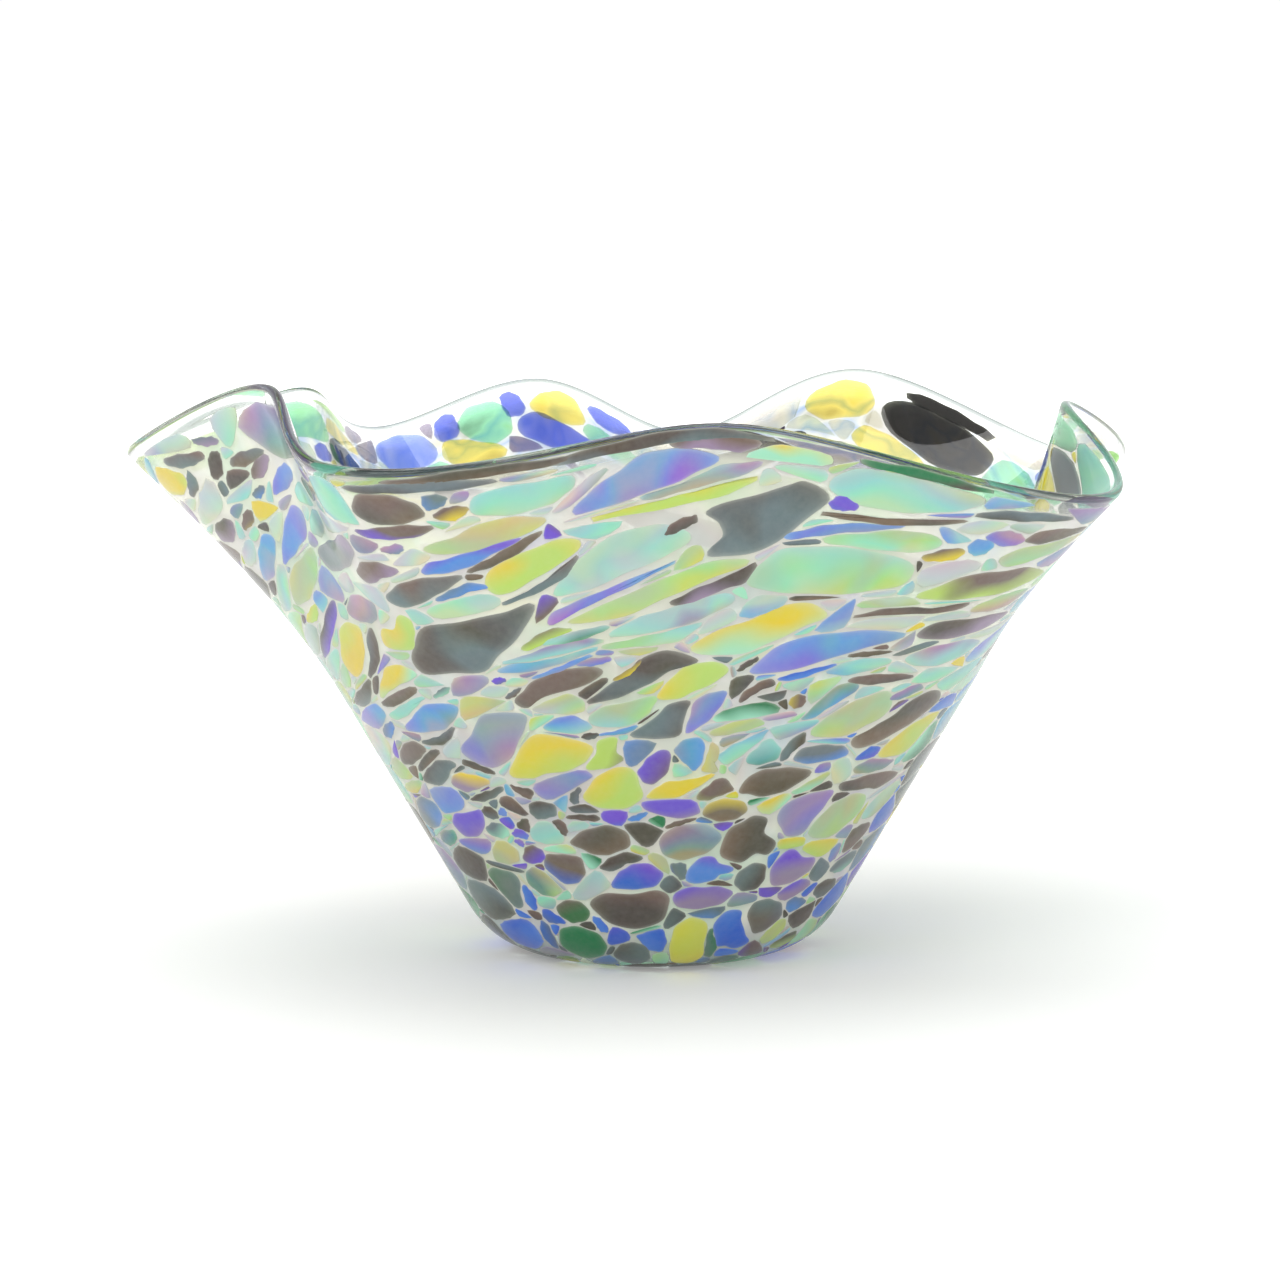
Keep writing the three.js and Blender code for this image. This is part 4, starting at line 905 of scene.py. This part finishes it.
def make_group(name, glass, bodies):
    """One piece of many chips of the same glass."""
    points, faces, attributes = [], [], {}
    total = 0
    for chip_points, chip_faces, chip_attributes in bodies:
        points.append(chip_points)
        faces += [tuple(v + total for v in face) for face in chip_faces]
        total += len(chip_points)
        for key, values in chip_attributes.items():
            attributes.setdefault(key, []).append(values)
    attributes = {key: np.concatenate(values) for key, values in attributes.items()}
    make_piece(name + glass, np.concatenate(points), faces, MATERIALS[glass], attributes)


def build_smaller_chips():
    chance = random.Random(8)
    groups = {}
    for glass, blush, outline in SMALLER_CHIPS:
        edge = chip_edge(outline, CURVE_STEPS)
        groups.setdefault(glass, []).append(chip_body(edge, chance.random(), blush))
    for glass, bodies in sorted(groups.items()):
        make_group("set_chips_", glass, bodies)


build_chips()
build_smaller_chips()


# ---------------------------------------------------------------- small chips

# The rest of the wall: seeds are strewn so that they keep their distance, and
# each chip is the part of the wall nearest to its seed, cut back from its
# neighbours and from the chips that are already there, with its corners rounded.
FILL_LOW = 2.0  # rises between which the seeds are strewn
FILL_HIGH = 151.5
FILL_FOOT = 0.5  # rises between which the chips end
FILL_TOP = 152.5
SEED_CLIMB = 0.8  # below 1, so that the seeds are denser towards the wide lip
SEED_SPACING = 0.8  # least squared distance between two seeds, in chip breadths
SEED_MARGIN = 0.7  # mm, at full size, that a seed keeps from a chip already there
NEIGHBOURS = 25  # seeds near enough to bound a chip
# rise, chip breadth in mm, length over breadth, tilt in degrees, gap in mm
GRAIN = np.array([
    (0, 8.5, 1.3, 0, 0.15),
    (40, 8.5, 1.4, 4, 0.15),
    (70, 8.5, 1.8, 14, 0.2),
    (95, 7.5, 2.9, 20, 0.25),
    (125, 7.5, 3.6, 17, 0.3),
    (155, 6.5, 4.5, 6, 0.3),
])
CORNER_SHARE = 0.36  # share of a side that its rounded corner takes up


def grain_at(rise):
    return [np.interp(rise, GRAIN[:, 0], GRAIN[:, i]) for i in range(1, 5)]


def grain_metric(rise, size):
    """Matrix entries (aa, ab, bb) that turn a step in (turn, rise) into squared chip breadths."""
    breadth, ratio, tilt, _ = grain_at(rise)
    breadth = breadth * size
    degree = degree_at(rise)
    cos, sin = np.cos(np.radians(tilt)), np.sin(np.radians(tilt))
    aa = ((cos / ratio)**2 + sin**2) * degree**2
    ab = (cos * sin / ratio**2 - cos * sin) * degree
    bb = (sin / ratio)**2 + cos**2
    return aa / breadth**2, ab / breadth**2, bb / breadth**2


def places_from(place, points):
    """Steps in turn and rise from a place to points, the short way round."""
    return np.stack([(points[..., 0] - place[0] + 180) % 360 - 180, points[..., 1] - place[1]], -1)


def steps_from(place, points):
    """Steps in mm along and up the wall from a place to points."""
    return places_from(place, points) * np.array([degree_at(place[1]), 1.0])


def seeds_from(place, seeds, size):
    """Steps from a place to seeds, the grain's matrix halfway, and the squared distances by it."""
    step = places_from(place, seeds)
    aa, ab, bb = grain_metric((seeds[:, 1] + place[1]) / 2, size)
    far = aa * step[:, 0]**2 + 2 * ab * step[:, 0] * step[:, 1] + bb * step[:, 1]**2
    return step, (aa, ab, bb), far


class Chips:
    """Edges of the chips already on the wall, with what finds those near a place."""

    def __init__(self):
        self.edges = []
        self.centres = np.zeros((0, 2))
        self.reaches = np.zeros(0)

    def add(self, edge):
        centre = edge.mean(0)
        self.edges.append(edge)
        self.centres = np.vstack([self.centres, centre])
        self.reaches = np.append(self.reaches, np.linalg.norm(steps_from(centre, edge), axis=1).max())

    def near(self, place, distance):
        far = np.linalg.norm(steps_from(place, self.centres), axis=1) - self.reaches
        return [self.edges[i] for i in np.flatnonzero(far < distance)]


def on_chip(place, chips, margin):
    """True where a place lies on a chip or within a margin of its edge."""
    for edge in chips.near(place, margin):
        a = steps_from(place, edge)
        b = np.roll(a, -1, 0)
        if np.linalg.norm(a, axis=1).min() < margin:
            return True
        crossing = (a[:, 1] > 0) != (b[:, 1] > 0)
        rise = np.where(crossing, b[:, 1] - a[:, 1], 1.0)
        at = a[:, 0] - a[:, 1] * (b[:, 0] - a[:, 0]) / rise
        if (crossing & (at > 0)).sum() % 2 == 1:
            return True
    return False


def cut(polygon, normal, limit):
    """The part of a polygon where normal . point <= limit."""
    kept = []
    for p, q in zip(polygon, polygon[1:] + polygon[:1]):
        dp, dq = normal @ p - limit, normal @ q - limit
        if dp <= 0:
            kept.append(p)
        if (dp < 0 < dq) or (dq < 0 < dp):
            kept.append(p + (q - p) * (dp / (dp - dq)))
    return kept


def strew_seeds(rng, chips, size, tries):
    seeds = np.zeros((0, 2))
    for _ in range(tries):
        place = np.array([rng.uniform(0, 360), FILL_LOW + (FILL_HIGH - FILL_LOW) * rng.uniform()**SEED_CLIMB])
        if len(seeds):
            _, _, far = seeds_from(place, seeds, size)
            if far.min() < SEED_SPACING:
                continue
        if not on_chip(place, chips, SEED_MARGIN * size):
            seeds = np.vstack([seeds, place])
    return seeds


def fill_cell(index, seeds, chips, size):
    """The outline of one small chip, in mm along and up from its seed."""
    place = seeds[index]
    breadth, ratio, tilt, gap = grain_at(place[1])
    cos, sin = math.cos(math.radians(tilt)), math.sin(math.radians(tilt))
    long, wide = breadth * ratio * size, breadth * size
    corners = ((-long, -wide), (long, -wide), (long, wide), (-long, wide))
    polygon = [np.array([x * cos - y * sin, x * sin + y * cos]) for x, y in corners]
    scale = np.array([degree_at(place[1]), 1.0])
    step, (aa, ab, bb), far = seeds_from(place, seeds, size)
    cuts = [(np.array([0.0, -1.0]), place[1] - FILL_FOOT), (np.array([0.0, 1.0]), FILL_TOP - place[1])]
    for j in np.argsort(far)[1:NEIGHBOURS + 1]:
        pull = np.array([aa[j] * step[j, 0] + ab[j] * step[j, 1], ab[j] * step[j, 0] + bb[j] * step[j, 1]])
        normal = pull / scale
        length = np.linalg.norm(normal)
        cuts.append((normal / length, pull @ step[j] / 2 / length - gap / 2))
    for edge in chips.near(place, long):
        near = steps_from(place, edge)
        along = np.roll(near, -1, 0) - near
        normals = np.stack([along[:, 1], -along[:, 0]], -1)
        normals /= np.linalg.norm(normals, axis=1, keepdims=True) + 1e-9
        normals = np.vstack([normals, -normals])
        heights = (normals @ near.T).max(1)
        best = np.argmin(heights)
        cuts.append((-normals[best], -heights[best] - gap))
    for normal, limit in cuts:
        if limit <= 0:
            return None
        polygon = cut(polygon, normal, limit)
    return polygon


def rounded(polygon, steps=3):
    """A closed outline whose corners are rounded by short quadratic curves."""
    points = np.array(polygon)
    before, after = np.roll(points, 1, 0), np.roll(points, -1, 0)
    start = points + (before - points) * CORNER_SHARE
    end = points + (after - points) * CORNER_SHARE
    edge = []
    for u in np.linspace(0, 1, steps):
        edge.append((1 - u)**2 * start + 2 * u * (1 - u) * points + u**2 * end)
    return np.stack(edge, 1).reshape(-1, 2)


# How often each glass turns up low, halfway and high on the wall, among the
# larger of these chips and among the slivers between them.
PALETTE = {
    "charcoal": (6, 5, 4), "brown": (5, 5, 5), "yellow": (3, 3, 4), "lime": (3, 4, 5),
    "mint": (3, 5, 6), "emerald": (2, 0.5, 0), "blue": (1, 3, 4), "cobalt": (4, 1, 0.5),
    "violet": (3, 1.5, 1), "lilac": (2, 2, 2), "slate": (5, 3, 2), "cream": (1, 3, 4),
}
SLIVERS = {
    "charcoal": (4, 2, 0.7), "brown": (4, 2, 1), "yellow": (1, 1, 1), "lime": (2, 2, 2),
    "mint": (3, 4, 5), "emerald": (2, 0.5, 0), "blue": (1, 1, 1), "cobalt": (3, 0.5, 0),
    "violet": (1, 0.5, 0), "lilac": (1, 1.5, 2), "slate": (3, 1, 0.7), "cream": (3, 8, 12),
}
BLUSHES = {
    "charcoal": ("slate", "brown", "charcoal"), "brown": ("charcoal", "violet"),
    "yellow": ("lime", "mint"), "lime": ("yellow", "mint"), "mint": ("lime", "blue", "cream"),
    "emerald": ("mint",), "blue": ("violet", "mint"), "cobalt": ("blue", "violet"),
    "violet": ("cobalt", "lilac"), "lilac": ("violet", "slate"), "slate": ("blue", "charcoal"),
    "cream": ("mint", "lilac", "cream"),
}
SHARE_RISES = (20, 70, 120)  # the rises that low, halfway and high stand for
# Each strewing of small chips: size, how many seeds are tried, least area in mm2 kept, glasses.
STREWINGS = [(1.0, 5000, 4.0, PALETTE), (0.6, 6000, 2.0, SLIVERS), (0.4, 8000, 1.0, SLIVERS)]

# Between the large streaks of the front, and at the top of the back, the small chips are mostly pale.
PALE_RISE = 85.0
PALE_TURN = 260.0
PALE_REACH = 75.0
EDGE_STEPS = 3  # points of an edge per point of its outline, to keep the small chips off it


def build_fill():
    rng = np.random.RandomState(11)
    pick = random.Random(5)
    chips = Chips()
    for chip in CHIPS + SMALLER_CHIPS:
        chips.add(chip_edge(chip[-1], EDGE_STEPS))
    groups = {}
    for size, tries, smallest, palette in STREWINGS:
        seeds = strew_seeds(rng, chips, size, tries)
        cells = [fill_cell(i, seeds, chips, size) for i in range(len(seeds))]
        for place, polygon in zip(seeds, cells):
            if polygon is None or len(polygon) < 3:
                continue
            edge = rounded(polygon)
            if polygon_area(edge) < smallest:
                continue
            edge = place + edge / np.array([degree_at(place[1]), 1.0])
            chips.add(edge)
            pale = place[1] > PALE_RISE and abs(place[0] - PALE_TURN) < PALE_REACH
            pale = pale or place[1] > THIN_RISE + THIN_SPAN and place[0] % 360 < 180
            shares = SLIVERS if pale else palette
            weights = [np.interp(place[1], SHARE_RISES, shares[glass]) for glass in shares]
            glass = pick.choices(list(shares), weights)[0]
            body = chip_body(edge, pick.random(), pick.choice(BLUSHES[glass]))
            groups.setdefault(glass, []).append(body)
    for glass, bodies in sorted(groups.items()):
        make_group("small_chips_", glass, bodies)


build_fill()


# ---------------------------------------------------------------- studio

FLOOR_REACH = 6.0
FLOOR_GLOW = 0.22  # at the vase
GLOW_NEAR = 0.25  # metres from the axis where the floor's glow starts to grow, and where it is full
GLOW_FAR = 1.2
LIGHT_AIM = Vector((0, 0, 0.06))


def make_floor():
    """A pale floor that glows towards its far edge, so that it runs into the background."""
    n = Nodes("pale_floor")
    where = n.add("ShaderNodeTexCoord").outputs["Object"]
    distance = n.add("ShaderNodeVectorMath", operation="LENGTH")
    n.link(where, distance.inputs[0])
    glow = n.math("ADD", n.stretch(distance.outputs["Value"], GLOW_NEAR, GLOW_FAR), FLOOR_GLOW)
    surface = n.add("ShaderNodeBsdfPrincipled")
    n.fill(surface, {"Base Color": (0.8, 0.8, 0.785, 1), "Roughness": 0.6, "Specular IOR Level": 0.1,
                     "Emission Color": (1.0, 1.0, 0.99, 1), "Emission Strength": glow})
    mesh = bpy.data.meshes.new("floor")
    corners = [(x * FLOOR_REACH, y * FLOOR_REACH, 0) for x, y in ((-1, -1), (1, -1), (1, 1), (-1, 1))]
    mesh.from_pydata(corners, [], [(0, 1, 2, 3)])
    mesh.materials.append(n.finish(surface.outputs[0]))
    floor = bpy.data.objects.new("floor", mesh)
    bpy.context.scene.collection.objects.link(floor)


def make_light(name, place, size, power):
    data = bpy.data.lights.new(name, "AREA")
    data.shape = "RECTANGLE"
    data.size, data.size_y = size
    data.energy = power
    light = bpy.data.objects.new(name, data)
    light.location = place
    light.rotation_euler = (LIGHT_AIM - Vector(place)).to_track_quat("-Z", "Y").to_euler()
    bpy.context.scene.collection.objects.link(light)


def make_world():
    world = bpy.data.worlds.new("studio")
    world.use_nodes = True
    tree = world.node_tree
    tree.nodes.clear()
    where = tree.nodes.new("ShaderNodeTexCoord")
    split = tree.nodes.new("ShaderNodeSeparateXYZ")
    ramp = tree.nodes.new("ShaderNodeValToRGB")
    background = tree.nodes.new("ShaderNodeBackground")
    output = tree.nodes.new("ShaderNodeOutputWorld")
    tree.links.new(where.outputs["Generated"], split.inputs[0])
    tree.links.new(split.outputs["Z"], ramp.inputs[0])
    tree.links.new(ramp.outputs[0], background.inputs["Color"])
    tree.links.new(background.outputs[0], output.inputs["Surface"])
    elements = ramp.color_ramp.elements
    elements[0].position = 0.35
    elements[0].color = (0.97, 0.97, 0.962, 1)
    elements[1].position = 0.8
    elements[1].color = (0.5, 0.51, 0.52, 1)
    background.inputs["Strength"].default_value = 1.05
    bpy.context.scene.world = world


make_floor()
make_light("overhead", (0.0, 0.1, 1.6), (1.4, 1.4), 16.0)
make_light("front_left", (-1.1, -1.3, 1.1), (0.8, 0.8), 5.0)
make_world()
bpy.context.scene.view_settings.view_transform = "Standard"
